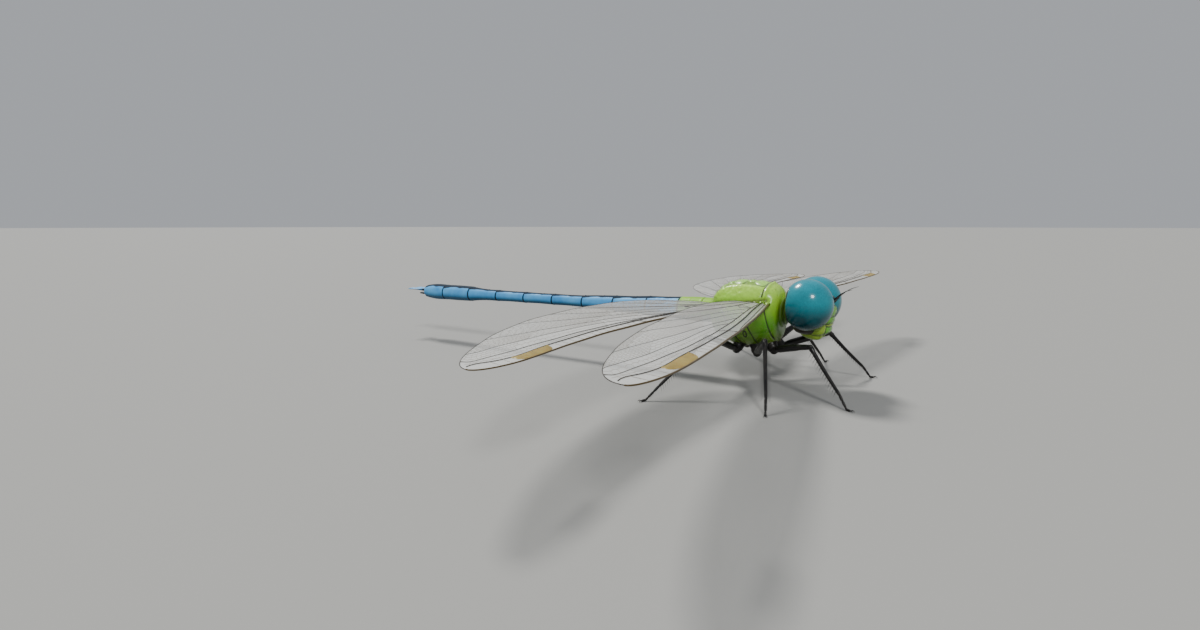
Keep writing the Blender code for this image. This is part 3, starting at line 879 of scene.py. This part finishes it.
# Each rib as points (share of the span, share of the chord), from where it leaves its stem.
FORE_RIBS = dict(
    second=((0.0, 0.10), (0.25, 0.065), (0.42, 0.045), (0.52, 0.0)),
    third=((0.0, 0.20), (0.15, 0.15), (0.5, 0.11), (0.8, 0.19), (0.92, 0.27), (0.99, 0.62)),
    stem=((0.0, 0.25), (0.13, 0.24), (0.36, 0.22), (0.6, 0.24), (0.8, 0.36), (0.94, 0.62), (0.975, 1.0)),
    branch_1=((0.42, None), (0.5, 0.33), (0.7, 0.44), (0.85, 0.62), (0.95, 1.0)),
    branch_2=((0.32, None), (0.5, 0.42), (0.65, 0.58), (0.78, 0.82), (0.85, 1.0)),
    branch_3=((0.22, None), (0.4, 0.50), (0.55, 0.70), (0.67, 1.0)),
    branch_4=((0.13, None), (0.3, 0.52), (0.45, 0.78), (0.53, 1.0)),
    fourth=((0.0, 0.42), (0.12, 0.50), (0.2, 0.62), (0.3, 0.80), (0.38, 1.0)),
    fifth=((0.0, 0.62), (0.1, 0.70), (0.17, 0.82), (0.24, 1.0)),
    last=((0.0, 0.82), (0.06, 0.90), (0.12, 1.0)),
)
HIND_RIBS = dict(
    second=((0.0, 0.10), (0.2, 0.045), (0.34, 0.03), (0.42, 0.0)),
    third=((0.0, 0.17), (0.12, 0.09), (0.4, 0.09), (0.8, 0.165), (0.92, 0.26), (0.99, 0.62)),
    stem=((0.0, 0.24), (0.1, 0.14), (0.3, 0.165), (0.55, 0.22), (0.8, 0.35), (0.94, 0.62), (0.975, 1.0)),
    branch_1=((0.33, None), (0.55, 0.34), (0.75, 0.50), (0.88, 0.75), (0.94, 1.0)),
    branch_2=((0.25, None), (0.4, 0.33), (0.6, 0.50), (0.75, 0.75), (0.83, 1.0)),
    branch_3=((0.17, None), (0.3, 0.34), (0.45, 0.52), (0.58, 0.75), (0.67, 1.0)),
    branch_4=((0.10, None), (0.2, 0.33), (0.33, 0.52), (0.45, 0.77), (0.52, 1.0)),
    fourth=((0.0, 0.36), (0.08, 0.29), (0.14, 0.38), (0.25, 0.60), (0.35, 0.85), (0.40, 1.0)),
    fifth=((0.0, 0.50), (0.07, 0.40), (0.11, 0.50), (0.18, 0.74), (0.25, 1.0)),
    last=((0.0, 0.74), (0.035, 0.68), (0.06, 0.80), (0.10, 1.0)),
)
# Neighbouring ribs, from the leading edge back, and whether fine ribs may part their cells.
FIELDS = (("edge", "second", False), ("second", "third", False), ("edge", "third", False),
          ("third", "stem", True), ("stem", "branch_1", True), ("branch_1", "branch_2", True),
          ("branch_2", "branch_3", True), ("branch_3", "branch_4", True), ("branch_4", "fourth", True),
          ("fourth", "fifth", True), ("fifth", "last", True), ("last", "rear_edge", True))
COLOURED_CELL = {"fore": (0.772, 0.888), "hind": (0.785, 0.895)}
# radius at the root and at the tip
RIB_RADII = dict(
    edge=(0.15, 0.06), second=(0.09, 0.04), third=(0.11, 0.05), stem=(0.10, 0.035),
    branch_1=(0.036, 0.0288), branch_2=(0.036, 0.0288), branch_3=(0.036, 0.0288), branch_4=(0.036, 0.0288),
    fourth=(0.075, 0.035), fifth=(0.07, 0.03), last=(0.05, 0.03), rear_edge=(0.035, 0.035))
NOTCH_RADII = (0.10, 0.06, 0.05, 0.03)
TRIANGLE_RADIUS = 0.045
FINE_RIB_RADIUS = 0.017
TIE_RADIUS = 0.011
VEIN_SIDES = 6
# Hard plates at the root: share of the span, mm behind the leading edge, half sizes, turn.
ROOT_KNOBS = ((0.019, 0.12, (0.95, 0.36, 0.34), -0.22), (0.012, 0.78, (0.72, 0.40, 0.34), 0.1),
              (0.012, 1.45, (0.80, 0.32, 0.28), 0.3), (0.007, 2.05, (0.65, 0.34, 0.24), 0.5))


def smooth_line(points, steps=10):
    """A smooth line through points, as many short straight ones."""
    line = []
    padded = [points[0], *points, points[-1]]
    for near in zip(padded, padded[1:], padded[2:], padded[3:]):
        for x in shares(steps)[:-1]:
            weights = (-0.5 * x + x * x - 0.5 * x ** 3, 1.0 - 2.5 * x * x + 1.5 * x ** 3,
                       0.5 * x + 2.0 * x * x - 1.5 * x ** 3, -0.5 * x * x + 0.5 * x ** 3)
            line.append(tuple(sum(w * p[k] for w, p in zip(weights, near)) for k in (0, 1)))
    line.append(tuple(points[-1]))
    return line


class Wing:
    """One wing. A place on it is a share of the span, s, and a share of the chord, t."""

    def __init__(self, side, form, table):
        self.side = side
        self.form = form
        self.lines = {"edge": ([0.0, 1.0], [0.0, 0.0]), "rear_edge": ([0.0, 1.0], [1.0, 1.0])}
        self.start = {"edge": 0.0, "rear_edge": 0.0}
        self.end = {"edge": 1.0, "rear_edge": 1.0}
        for name, points in table.items():
            if points[0][1] is None:
                points = ((points[0][0], self.rib("stem", points[0][0])), *points[1:])
            line = smooth_line(points)
            self.lines[name] = ([s for s, _ in line], [t for _, t in line])
            self.start[name], self.end[name] = points[0][0], points[-1][0]

    def rib(self, name, s):
        """Share of the chord at which a rib lies. A branch runs along its stem until it leaves it."""
        if name.startswith("branch") and s < self.start[name]:
            name = "stem"
        return float(np.interp(s, *self.lines[name]))

    def edges(self, s):
        """Place of the leading edge, and the wing's width behind it."""
        form = self.form
        s = min(max(s, 0.0), 1.0)
        if s < form["widest"]:
            filled = sin(0.5 * pi * (s / form["widest"]) ** form["filling"])
            chord = form["chord"] * blend(form["base"], 1.0, filled)
        else:
            beyond = (s - form["widest"]) / (1.0 - form["widest"])
            power = form["tip_power"]
            chord = form["chord"] * max(0.0, 1.0 - beyond ** power) ** (1.0 / power)
        arc = min(max(0.0, (s - TIP_ROUNDED_FROM) / (1.0 - TIP_ROUNDED_FROM)), 1.0)
        edge = form["sweep"] * s + form["curve"] * s ** 2 + form["droop"] * (1.0 - sqrt(1.0 - arc ** 2))
        return edge, chord

    def pleats(self, s):
        """Places across the chord of the pleats' tops and valleys, and their heights."""
        size = PLEAT_HEIGHT * (1.0 - 0.7 * s)
        third, stem = self.rib("third", s), self.rib("stem", s)
        second = max(self.rib("second", s), 0.004) if s < self.end["second"] else 0.5 * third
        sunk = -0.9 * size * rise(self.end["second"] - s, 0.0, 0.15)
        stem = max(stem, third + 0.01)
        far = min(stem + 0.16, 0.5 * (1.0 + stem))
        heights = (0.1 * size, sunk, 0.8 * size, -0.7 * size, 0.3 * size, 0.0)
        return (0.0, second, third, stem, far, 1.0), heights

    def place(self, s, t, lift=0.0):
        """A place on the pleated film, in the animal's own mm."""
        form = self.form
        out, back, up = form["root"]
        edge, chord = self.edges(s)
        height = float(np.interp(t, *self.pleats(s)))
        height += RIPPLE * noise.noise(Vector((s * 9.0, t * 4.0, 3.0))) * rise(s, 0.0, 0.2)
        span = form["tip_out"] - out
        flat = Vector((self.side * span * s, edge + chord * t, height + lift))
        flat.rotate(Euler((radians(form["incidence"]), self.side * (up - form["tip_up"]) / span, 0.0)))
        return flat + Vector((self.side * out, back, up))


def film_skin(wing):
    """The clear film: an upper and a lower sheet, joined all round."""
    shape = bmesh.new()
    sheets, borders = [], []
    for lift in (0.5 * FILM_THICKNESS, -0.5 * FILM_THICKNESS):
        rows = []
        for i in range(FILM_ALONG + 1):
            s = 0.99999 * sin(0.5 * pi * i / FILM_ALONG)
            across = [float(np.interp(share, FILM_FOLDS, wing.pleats(s)[0])) for share in shares(FILM_ACROSS)]
            rows.append([shape.verts.new(wing.place(s, t, lift)) for t in across])
        sheets.append(rows)
        borders.append(rows[0][:-1] + [row[-1] for row in rows[:-1]]
                       + rows[-1][:0:-1] + [row[0] for row in rows[:0:-1]])
    for rows in sheets:
        for near, far in zip(rows, rows[1:]):
            for j in range(FILM_ACROSS):
                shape.faces.new((near[j], near[j + 1], far[j + 1], far[j]))
    above, below = borders
    for k in range(len(above)):
        m = (k + 1) % len(above)
        shape.faces.new((above[k], above[m], below[m], below[k]))
    return shape


def field_of(wing, upper, lower):
    """Where the cells between two ribs start, and where they end along the one and the other."""
    start = max(0.0 if upper.startswith("branch") else wing.start[upper], wing.start[lower])
    ends = [min(wing.end[name], NET_END) for name in (upper, lower)]
    if (upper, lower) == ("edge", "third"):
        start, ends = wing.end["second"], (NET_END, NET_END)
    elif (upper, lower) == ("edge", "second"):
        ends = (ends[1], ends[1])
    elif lower in ("third", "rear_edge"):
        ends = (ends[0], ends[0])
    return start, ends


def cells_between(wing, number, coloured):
    """The ties and fine ribs between two neighbouring ribs, as (points, radii)."""
    upper, lower, parted = FIELDS[number]
    start, ends = field_of(wing, upper, lower)
    ties, fine = [], {}
    shape, (shortest, longest) = (CELL_SHAPE, CELL_LENGTHS) if parted else (LADDER_SHAPE, LADDER_LENGTHS)

    # in here u runs along the row of cells and v across it, both from 0 to 1
    def at(u, v):
        a, b = blend(start, ends[0], u), blend(start, ends[1], u)
        return blend(a, b, v), blend(wing.rib(upper, a), wing.rib(lower, b), v)

    def place(u, v):
        return wing.place(*at(u, v))

    def fill(v0, v1, u, first):
        """Tie the row between v0 and v1 from u on, and part it where it grows too wide."""
        middle = 0.5 * (v0 + v1)
        while u < 0.995:
            width = (place(u, v0) - place(u, v1)).length
            if parted and width > CELL_WIDTH:
                if u > 0.001:
                    ties.append((u, v0, v1))
                fine[middle] = u
                fill(v0, middle, u, 0.3)
                fill(middle, v1, u, 0.8)
                return
            step = min(max(shape * width, shortest), longest)
            step *= 1.0 + 0.22 * noise.noise(Vector((u * 31.0, v0 * 17.0, number + 0.5)))
            speed = (place(min(u + 0.01, 1.0), middle) - place(u - 0.01, middle)).length / 0.02
            speed = max(speed, 0.1)
            u += step * first / speed
            first = 1.0
            if (1.0 - u) * speed < 0.45 * step:
                return
            ties.append((u, v0, v1))

    fill(0.0, 1.0, 0.0, 0.6)
    knots = {v: {u: (u, v)} for v, u in fine.items()}
    for u, v0, v1 in ties:
        pull = ZIGZAG * (v1 - v0)
        for v, pulled in ((v0, v0 + pull), (v1, v1 - pull)):
            if v in knots:
                knots[v].setdefault(u, (u, pulled))
    threads = []
    for u, v0, v1 in ties:
        line = [knots.get(v, {}).get(u, (u, v)) for v in (v0, v1)]
        if (upper, lower) == ("edge", "third") and coloured[0] < at(*line[0])[0] < coloured[1]:
            continue
        middle = 0.5 * (v0 + v1)
        if fine.get(middle) == u:
            line.insert(1, (u, middle))
        threads.append(([place(*knot) for knot in line], [TIE_RADIUS * (1.5 - 0.5 * v0)] * len(line)))
    for v, made in knots.items():
        line = [made[u] for u in sorted(made)] + [(1.0, v)]
        threads.append(([place(*knot) for knot in line], [FINE_RIB_RADIUS] * len(line)))
    return threads


def net_of(wing, coloured):
    """Every rib and tie of a wing, as (points, radii). The leading edge comes first."""
    threads = []
    for name, (thick, thin) in RIB_RADII.items():
        start, end = wing.start[name], min(wing.end[name], RIB_END)
        stations = [blend(start, end, share) for share in shares(max(6, int(90 * (end - start))))]
        if name.endswith("edge"):
            stations = [sin(0.5 * pi * share) for share in shares(110)]
        radii = [blend(thick, thin, (s - start) / (end - start)) for s in stations]
        threads.append(([wing.place(s, wing.rib(name, s)) for s in stations], radii))

    # the strong cross vein at the notch, and the triangle of short ones near the root
    notch = wing.end["second"]
    kink = [(notch - 0.004, 0.0), (notch, 0.5 * wing.rib("third", notch)),
            (notch + 0.003, wing.rib("third", notch)), (notch + 0.012, wing.rib("stem", notch + 0.012))]
    threads.append(([wing.place(*knot) for knot in kink], NOTCH_RADII))
    corner = 0.5 * (wing.start["branch_4"] + 0.11)
    ends = wing.rib("stem", corner), wing.rib("fourth", corner)
    bar = [(corner, blend(*ends, share)) for share in shares(2)]
    corner += 0.035
    point = (corner, blend(wing.rib("branch_4", corner), wing.rib("fourth", corner), 0.5))
    for line in (bar, [bar[0], point], [bar[-1], point]):
        threads.append(([wing.place(*knot) for knot in line], [TRIANGLE_RADIUS] * len(line)))

    for number in range(len(FIELDS)):
        threads += cells_between(wing, number, coloured)
    return threads


def new_tree(name, sizes):
    """A tree of geometry nodes with named inputs: the tree, what it is given, and their keys."""
    tree = bpy.data.node_groups.new(name, "GeometryNodeTree")
    tree.interface.new_socket("Geometry", in_out="INPUT", socket_type="NodeSocketGeometry")
    keys = [tree.interface.new_socket(size, in_out="INPUT", socket_type="NodeSocket" + kind).identifier
            for size, kind in sizes]
    tree.interface.new_socket("Geometry", in_out="OUTPUT", socket_type="NodeSocketGeometry")
    return tree, tree.nodes.new("NodeGroupInput").outputs, keys


def end_tree(tree, given, geometry):
    """Turn what a tree has grown into plain dressed geometry, and give it out."""
    real = add_node(tree, "GeometryNodeRealizeInstances", {"Geometry": geometry})
    dressed = add_node(tree, "GeometryNodeSetMaterial", {"Geometry": real, "Material": given["Material"]})
    set_inputs(tree.nodes.new("NodeGroupOutput"), {"Geometry": dressed})


def noted_input(tree, name, kind="FLOAT"):
    """A number or a direction noted at each point that a tree is given."""
    return add_node(tree, "GeometryNodeInputNamedAttribute", {"Name": name}, "Attribute", data_type=kind)


def note(mesh, name, numbers, kind="FLOAT"):
    """Note numbers or directions at the points of a mesh."""
    layer = mesh.attributes.new(name, kind, "POINT").data
    layer.foreach_set("value" if kind == "FLOAT" else "vector", numbers)


# Turns loose threads into hollow veins: a round tube along each, as thick as it says.
veins, given, vein_keys = new_tree("veins", (("Sides", "Int"), ("Material", "Material")))
lines = add_node(veins, "GeometryNodeMeshToCurve", {"Mesh": given["Geometry"]})
circle = add_node(veins, "GeometryNodeCurvePrimitiveCircle", {"Resolution": given["Sides"], "Radius": 1.0})
tubes = add_node(veins, "GeometryNodeCurveToMesh", {
    "Curve": lines, "Profile Curve": circle, "Scale": noted_input(veins, "radius"), "Fill Caps": True})
end_tree(veins, given, tubes)

film = Finish("wing film", {"Alpha": 0.26, "Specular IOR Level": 0.05, "Coat Weight": 0.25,
                            "Coat Roughness": 0.12})
cloud = film.noise(160.0, 5.0)
film.paint(film.mix(film.spread(cloud, 0.3, 0.7), (0.86, 0.88, 0.87), (0.94, 0.94, 0.91)))
film.rough(cloud, 0.14, 0.26)
film.relief(film.cells(1300.0), 0.06, 0.25)

vein = Finish("wing vein", {})
grain = vein.noise(1500.0, 3.0)
dark = vein.ramp(grain, (0.35, (0.012, 0.010, 0.008)), (0.75, (0.05, 0.035, 0.018)))
dark = vein.mix(vein.noted("fine"), dark, (0.33, 0.30, 0.25))
vein.paint(vein.mix(vein.noted("amber"), dark, (0.075, 0.047, 0.010)))
vein.rough(grain, 0.3, 0.5)

amber = Finish("coloured wing cell", {"Roughness": 0.38, "Alpha": 0.9, "Subsurface Weight": 0.3,
                                      "Subsurface Radius": (0.0006, 0.0003, 0.0001)})
grain = amber.noise(900.0, 5.0)
amber.paint(amber.ramp(grain, (0.3, (0.26, 0.175, 0.028)), (0.72, (0.40, 0.295, 0.058))))
amber.relief(grain, 0.03, 0.4)

for word, form, table in (("fore", FORE_WING, FORE_RIBS), ("hind", HIND_WING, HIND_RIBS)):
    near, far = COLOURED_CELL[word]
    for side, side_word in SIDES:
        wing = Wing(side, form, table)
        name = f"{word}_wing_{side_word}"
        piece = settle(name + "_film", film_skin(wing), film)
        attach(piece, "root")
        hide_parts(name)

        places, links, radii, edge_tones, fine_tones = [], [], [], [], []
        for number, (points, thicknesses) in enumerate(net_of(wing, (near, far))):
            first = len(places)
            places += [spot(*point) for point in points]
            links += [(k, k + 1) for k in range(first, len(places) - 1)]
            radii += [radius * MM for radius in thicknesses]
            edge_tones += [1.0 if number == 0 else 0.0] * len(points)
            fine_tones += [1.0 if max(thicknesses) <= 1.5 * FINE_RIB_RADIUS else 0.0] * len(points)
        threads = bpy.data.meshes.new(name + "_threads")
        threads.from_pydata(places, links, [])
        note(threads, "radius", radii)
        note(threads, "amber", edge_tones)
        note(threads, "fine", fine_tones)
        mesh = modified(threads, "NODES", {"node_group": veins}, zip(vein_keys, (VEIN_SIDES, vein.material)))
        piece = show(name + "_veins", mesh, vein)
        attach(piece, "root")

        knobs = bmesh.new()
        for s, behind, half, nod in ROOT_KNOBS:
            pose = Matrix.Translation(wing.place(s, behind / wing.edges(s)[1]))
            pose = pose @ Matrix.Rotation(side * nod, 4, "Z") @ Matrix.Diagonal((*half, 1.0))
            bmesh.ops.create_icosphere(knobs, subdivisions=4, radius=1.0, matrix=pose)
        mark(knobs, "hinge", lambda place: 0.78 + 0.4 * noise.noise(place * 1.6))
        mark(knobs, "seam", lambda place: rise(noise.noise(place * 2.1 + Vector((5.0, 0.0, 0.0))), 0.25, 0.5))
        piece = settle(name + "_root", knobs, green)
        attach(piece, "root")

        rows = []
        for share in shares(32):
            s = blend(near, far, share)
            thick = 0.05 + 0.035 * sin(pi * share) ** 0.5
            slant = 0.008 * (0.5 - share)
            full = (1.0 - abs(2.0 * share - 1.0) ** 4.0) ** 0.5
            row = []
            for angle in turns(24):
                t = wing.rib("third", s) * (1.0 - full * (0.5 - 0.5 * cos(angle)))
                row.append(wing.place(s + slant * cos(angle), t, thick * sin(angle)))
            rows.append(row)
        piece = settle(name + "_coloured_cell", lofted(rows), amber)
        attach(piece, "root")

# ---- Legs ----
# Six jointed black legs: a stout coxa set in the thorax floor, a long thigh, a straight shin with
# two rows of stiff spines that net prey in flight, and a thin three-jointed foot that ends in
# two hooked claws.
# Coxa, base of the thigh, knee, ankle and claw of each left leg, as out, back, up.
LEGS = {
    "fore": ((1.1, 4.9, 5.6), (1.7, 4.1, 4.55), (5.6, -1.3, 6.2), (8.1, -5.3, 1.55), (9.05, -7.0, 0.25)),
    "mid": ((1.3, 6.6, 5.3), (2.3, 6.1, 4.1), (8.2, 3.4, 6.9), (13.6, 1.45, 1.55), (15.9, 0.75, 0.25)),
    "hind": ((1.3, 8.6, 5.4), (2.2, 8.9, 4.25), (9.3, 10.3, 6.9), (15.4, 13.7, 1.6), (18.0, 15.1, 0.25)),
}
# share of a limb's length, radius
THIGH = ((0.0, 0.36), (0.06, 0.44), (0.1, 0.38), (0.2, 0.45), (0.5, 0.46), (0.85, 0.34), (0.95, 0.31),
         (1.0, 0.26))
SHIN = ((0.0, 0.24), (0.04, 0.33), (0.12, 0.25), (0.6, 0.215), (0.95, 0.19), (1.0, 0.15))
FOOT = ((0.0, 0.13), (0.06, 0.17), (0.28, 0.15), (0.33, 0.10), (0.37, 0.15), (0.62, 0.14), (0.66, 0.09),
        (0.7, 0.135), (0.93, 0.14), (1.0, 0.09))
THIGH_BOW = 0.12
SHIN_BOW = -0.1
HIP_RADIUS = 0.56
KNEE_RADIUS = 0.3
HEEL_ON_FLOOR = 1.1         # how far behind the claw the foot comes down
HEEL_UP = 0.15
CLAW_UP = 0.12
CLAW_REACH = 0.42
# one claw: mm before the toe, to its side and above it, radius
CLAW = ((0.0, 0.05, 0.0, 0.06), (0.2, 0.13, 0.1, 0.05), (0.36, 0.17, 0.03, 0.032),
        (CLAW_REACH, 0.17, -0.1, 0.008))
# length of the spines, gap between them, first point of the limb that has one, slope outward
THIGH_SPINES = (0.34, 0.42, 16, 0.5)
SHIN_SPINES = (0.85, 0.42, 4, 0.75)
FOOT_SPINES = (0.26, 0.252, 4, 0.9)
SPINE_RADIUS = 0.035
SPINE_SIDES = 5
SPINY_POINTS = 36           # points of the foot that have spines, from the ankle on
LEAST_SPINE = 0.1


def along_limb(start, end, table, steps, bow):
    """Points and radii of one limb between two joints, a little bowed upward."""
    points = [start.lerp(end, share) + UPRIGHT * bow * sin(pi * share) for share in shares(steps)]
    return points, [between(table, share)[0] for share in shares(steps)]


def rounded(corners, steps, passes):
    """Equal steps along a path, with its corners smoothed away."""
    lengths = [0.0]
    for a, b in zip(corners, corners[1:]):
        lengths.append(lengths[-1] + (b - a).length)
    line = []
    for share in shares(steps):
        reach = lengths[-1] * share
        k = max(i for i in range(len(corners) - 1) if lengths[i] <= reach)
        line.append(corners[k].lerp(corners[k + 1], (reach - lengths[k]) / (lengths[k + 1] - lengths[k])))
    for _ in range(passes):
        line[1:-1] = [(a + b * 2.0 + c) / 4.0 for a, b, c in zip(line, line[1:], line[2:])]
    return line


def join(shape, other):
    """Add one bmesh to another."""
    mesh = as_mesh("part", other)
    shape.from_mesh(mesh)
    bpy.data.meshes.remove(mesh)


# Stands a thin spine at each point, along the direction and with the length noted there.
spines, given, spine_keys = new_tree(
    "spines", (("Base radius", "Float"), ("Sides", "Int"), ("Material", "Material")))
points = add_node(spines, "GeometryNodeMeshToPoints", {"Mesh": given["Geometry"]})
cone = add_node(spines, "GeometryNodeMeshCone", {
    "Vertices": given["Sides"], "Side Segments": 3, "Radius Top": 0.0, "Radius Bottom": given["Base radius"],
    "Depth": 1.0})
turn = add_node(spines, "FunctionNodeAlignRotationToVector",
                {"Vector": noted_input(spines, "direction", "FLOAT_VECTOR")}, axis="Z")
size = add_node(spines, "ShaderNodeCombineXYZ", {"X": 1.0, "Y": 1.0, "Z": noted_input(spines, "length")})
stood = add_node(spines, "GeometryNodeInstanceOnPoints",
                 {"Points": points, "Instance": cone, "Rotation": turn, "Scale": size})
end_tree(spines, given, stood)


def bristled(name, roots, radius, sides, finish):
    """A piece of many spines; a root is (place, direction, length), in the animal's own mm."""
    stubs = bpy.data.meshes.new(name + "_roots")
    stubs.from_pydata([spot(*place) for place, _, _ in roots], [], [])
    note(stubs, "direction", [number for _, lean, _ in roots for number in lean.normalized()], "FLOAT_VECTOR")
    note(stubs, "length", [length * MM for _, _, length in roots])
    sizes = zip(spine_keys, (radius * MM, sides, finish.material))
    return show(name, modified(stubs, "NODES", {"node_group": spines}, sizes), finish)


def spine_rows(points, radii, length, outward):
    """Roots of two rows of spines along the under side of a limb, all kept above the floor."""
    roots = []
    for start, end, radius in zip(points, points[1:], radii):
        along = (end - start).normalized()
        side = along.cross(UPRIGHT).normalized()
        under = along.cross(side).normalized()
        under = under if under.z < 0.0 else -under
        for hand, share in ((1.0, 0.25), (-1.0, 0.75)):
            lean = (under * 0.55 + side * hand * 0.8 + along * outward).normalized()
            place = start.lerp(end, share) + (under * 0.5 + side * hand).normalized() * radius * 0.8
            long = min(length, max(0.0, (place.z - 0.02) / max(-lean.z, 0.05)))
            if long > LEAST_SPINE:
                roots.append((place, lean, long))
    return roots


for word, stations in LEGS.items():
    for side, side_word in SIDES:
        name = f"{word}_leg_{side_word}"
        coxa, hip, knee, ankle, claw = (Vector((side * out, back, up)) for out, back, up in stations)
        heel = claw + (ankle - claw).normalized() * HEEL_ON_FLOOR
        heel.z = HEEL_UP
        claw.z = CLAW_UP

        thigh_line, thigh_radii = along_limb(hip, knee, THIGH, 60, THIGH_BOW)
        thigh = swept(thigh_line, thigh_radii, 20)
        inside = coxa + Vector((-side * 0.1, 0.0, 0.5))
        line = [inside.lerp(coxa, share) for share in shares(4)[:-1]]
        line += [coxa.lerp(hip, share) for share in shares(12)]
        girth = [blend(0.7, 0.9, share) for share in shares(4)[:-1]]
        girth += [0.9 - 0.35 * share ** 2 + 0.05 * sin(9.0 * share) for share in shares(12)]
        join(thigh, swept(line, girth, 28))
        bmesh.ops.create_icosphere(thigh, subdivisions=3, radius=HIP_RADIUS, matrix=Matrix.Translation(hip))

        shin_line, shin_radii = along_limb(knee, ankle, SHIN, 48, SHIN_BOW)
        shin = swept(shin_line, shin_radii, 18)
        bmesh.ops.create_icosphere(shin, subdivisions=3, radius=KNEE_RADIUS, matrix=Matrix.Translation(knee))

        toward = (claw - heel).normalized()
        across = toward.cross(UPRIGHT)
        toe = claw - toward * CLAW_REACH
        foot_line = rounded([ankle, ankle.lerp(heel, 0.5), heel, heel.lerp(toe, 0.5), toe], 60, 6)
        foot_radii = [between(FOOT, share)[0] for share in shares(60)]
        foot = swept(foot_line, foot_radii, 16)
        for hand in (1.0, -1.0):
            hook = [toe + toward * before + across * hand * beside + UPRIGHT * above
                    for before, beside, above, _ in CLAW]
            join(foot, swept(hook, [radius for *_, radius in CLAW], 8))
        for vert in foot.verts:
            vert.co.z = max(vert.co.z, 0.0)

        for part, solid, shape in (("thigh", "femur", thigh), ("shin", "tibia", shin),
                                   ("foot", "tarsus", foot)):
            piece = settle(f"{name}_{part}", shape, black)
            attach(piece, "root")
            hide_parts(f"{name}_{solid}")

        roots = []
        for points, radii, (length, gap, first, outward) in (
                (thigh_line, thigh_radii, THIGH_SPINES), (shin_line, shin_radii, SHIN_SPINES),
                (foot_line[:SPINY_POINTS], foot_radii, FOOT_SPINES)):
            every = max(1, round(gap / (points[1] - points[0]).length))
            roots += spine_rows(points[first::every], radii[first::every], length, outward)
        piece = bristled(name + "_spines", roots, SPINE_RADIUS, SPINE_SIDES, black)
        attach(piece, "root")

# ---- Hairs ----
# Short fine hairs, pale on the thorax where they keep the flight muscles warm, dark and sparse on
# the face. Each is a thin cone that leans back along the body.
# name, piece they grow on, seed, how many, length, radius, colour, lowest and highest place kept
HAIR_PATCHES = (
    ("thorax_hairs", "thorax_plates", 5, 2400, 0.5, 0.009, (0.42, 0.36, 0.20),
     (-5.0, 3.6, 4.2), (5.0, 12.4, 14.0)),
    ("face_hairs", "head_plates", 9, 420, 0.32, 0.010, (0.06, 0.045, 0.03),
     (-2.3, -4.0, 6.5), (2.3, -1.45, 10.4)),
)
HAIR_SIDES = 3
HAIR_PATCH_ON_MAP = 0.003
BODY_MIDDLE_UP = 9.0        # the map is rolled round the body about this height


def inside_map(place):
    """A place on the map, held a little inside its edges."""
    return min(max(place, 0.01), 0.99)


for name, grown_on, seed, count, length, radius, colour, lowest, highest in HAIR_PATCHES:
    hair = Finish(name.replace("_", " "), {"Roughness": 0.5})
    hair.paint(hair.mix(hair.noise(700.0, 2.0), colour, tuple(0.5 * c for c in colour)))
    skin = bpy.data.objects[grown_on].data
    chance = np.random.default_rng(seed)
    low, high = spot(*lowest), spot(*highest)
    roots, places_on_map = [], []
    for index in chance.permutation(len(skin.vertices)):
        vertex = skin.vertices[int(index)]
        here, normal = vertex.co, vertex.normal
        if not all(low[k] <= here[k] <= high[k] for k in range(3)):
            continue
        place = Vector((here.x / MM, (here.y - EYES_Y) / MM, here.z / MM))
        lean = Vector((0.0, 0.75, -0.15)) + Vector(chance.normal(0.0, 0.18, 3))
        roots.append((place - normal * 0.02, normal + lean, length * chance.uniform(0.6, 1.15)))
        places_on_map.append((inside_map(0.5 + atan2(here.x, here.z - BODY_MIDDLE_UP * MM) / (2.0 * pi)),
                              inside_map((here.y - low.y) / (high.y - low.y))))
        if len(roots) == count:
            break
    piece = bristled(name, roots, radius, HAIR_SIDES, hair)
    bake_map = piece.data.uv_layers.new(name="OFBake")
    per_hair = len(piece.data.loops) // len(roots)
    for index, corner in enumerate(bake_map.data):
        u, v = places_on_map[min(index // per_hair, len(roots) - 1)]
        angle = 2.4 * (index % per_hair)
        corner.uv = (u + 0.5 * HAIR_PATCH_ON_MAP * cos(angle), v + 0.5 * HAIR_PATCH_ON_MAP * sin(angle))
    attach(piece, "root")
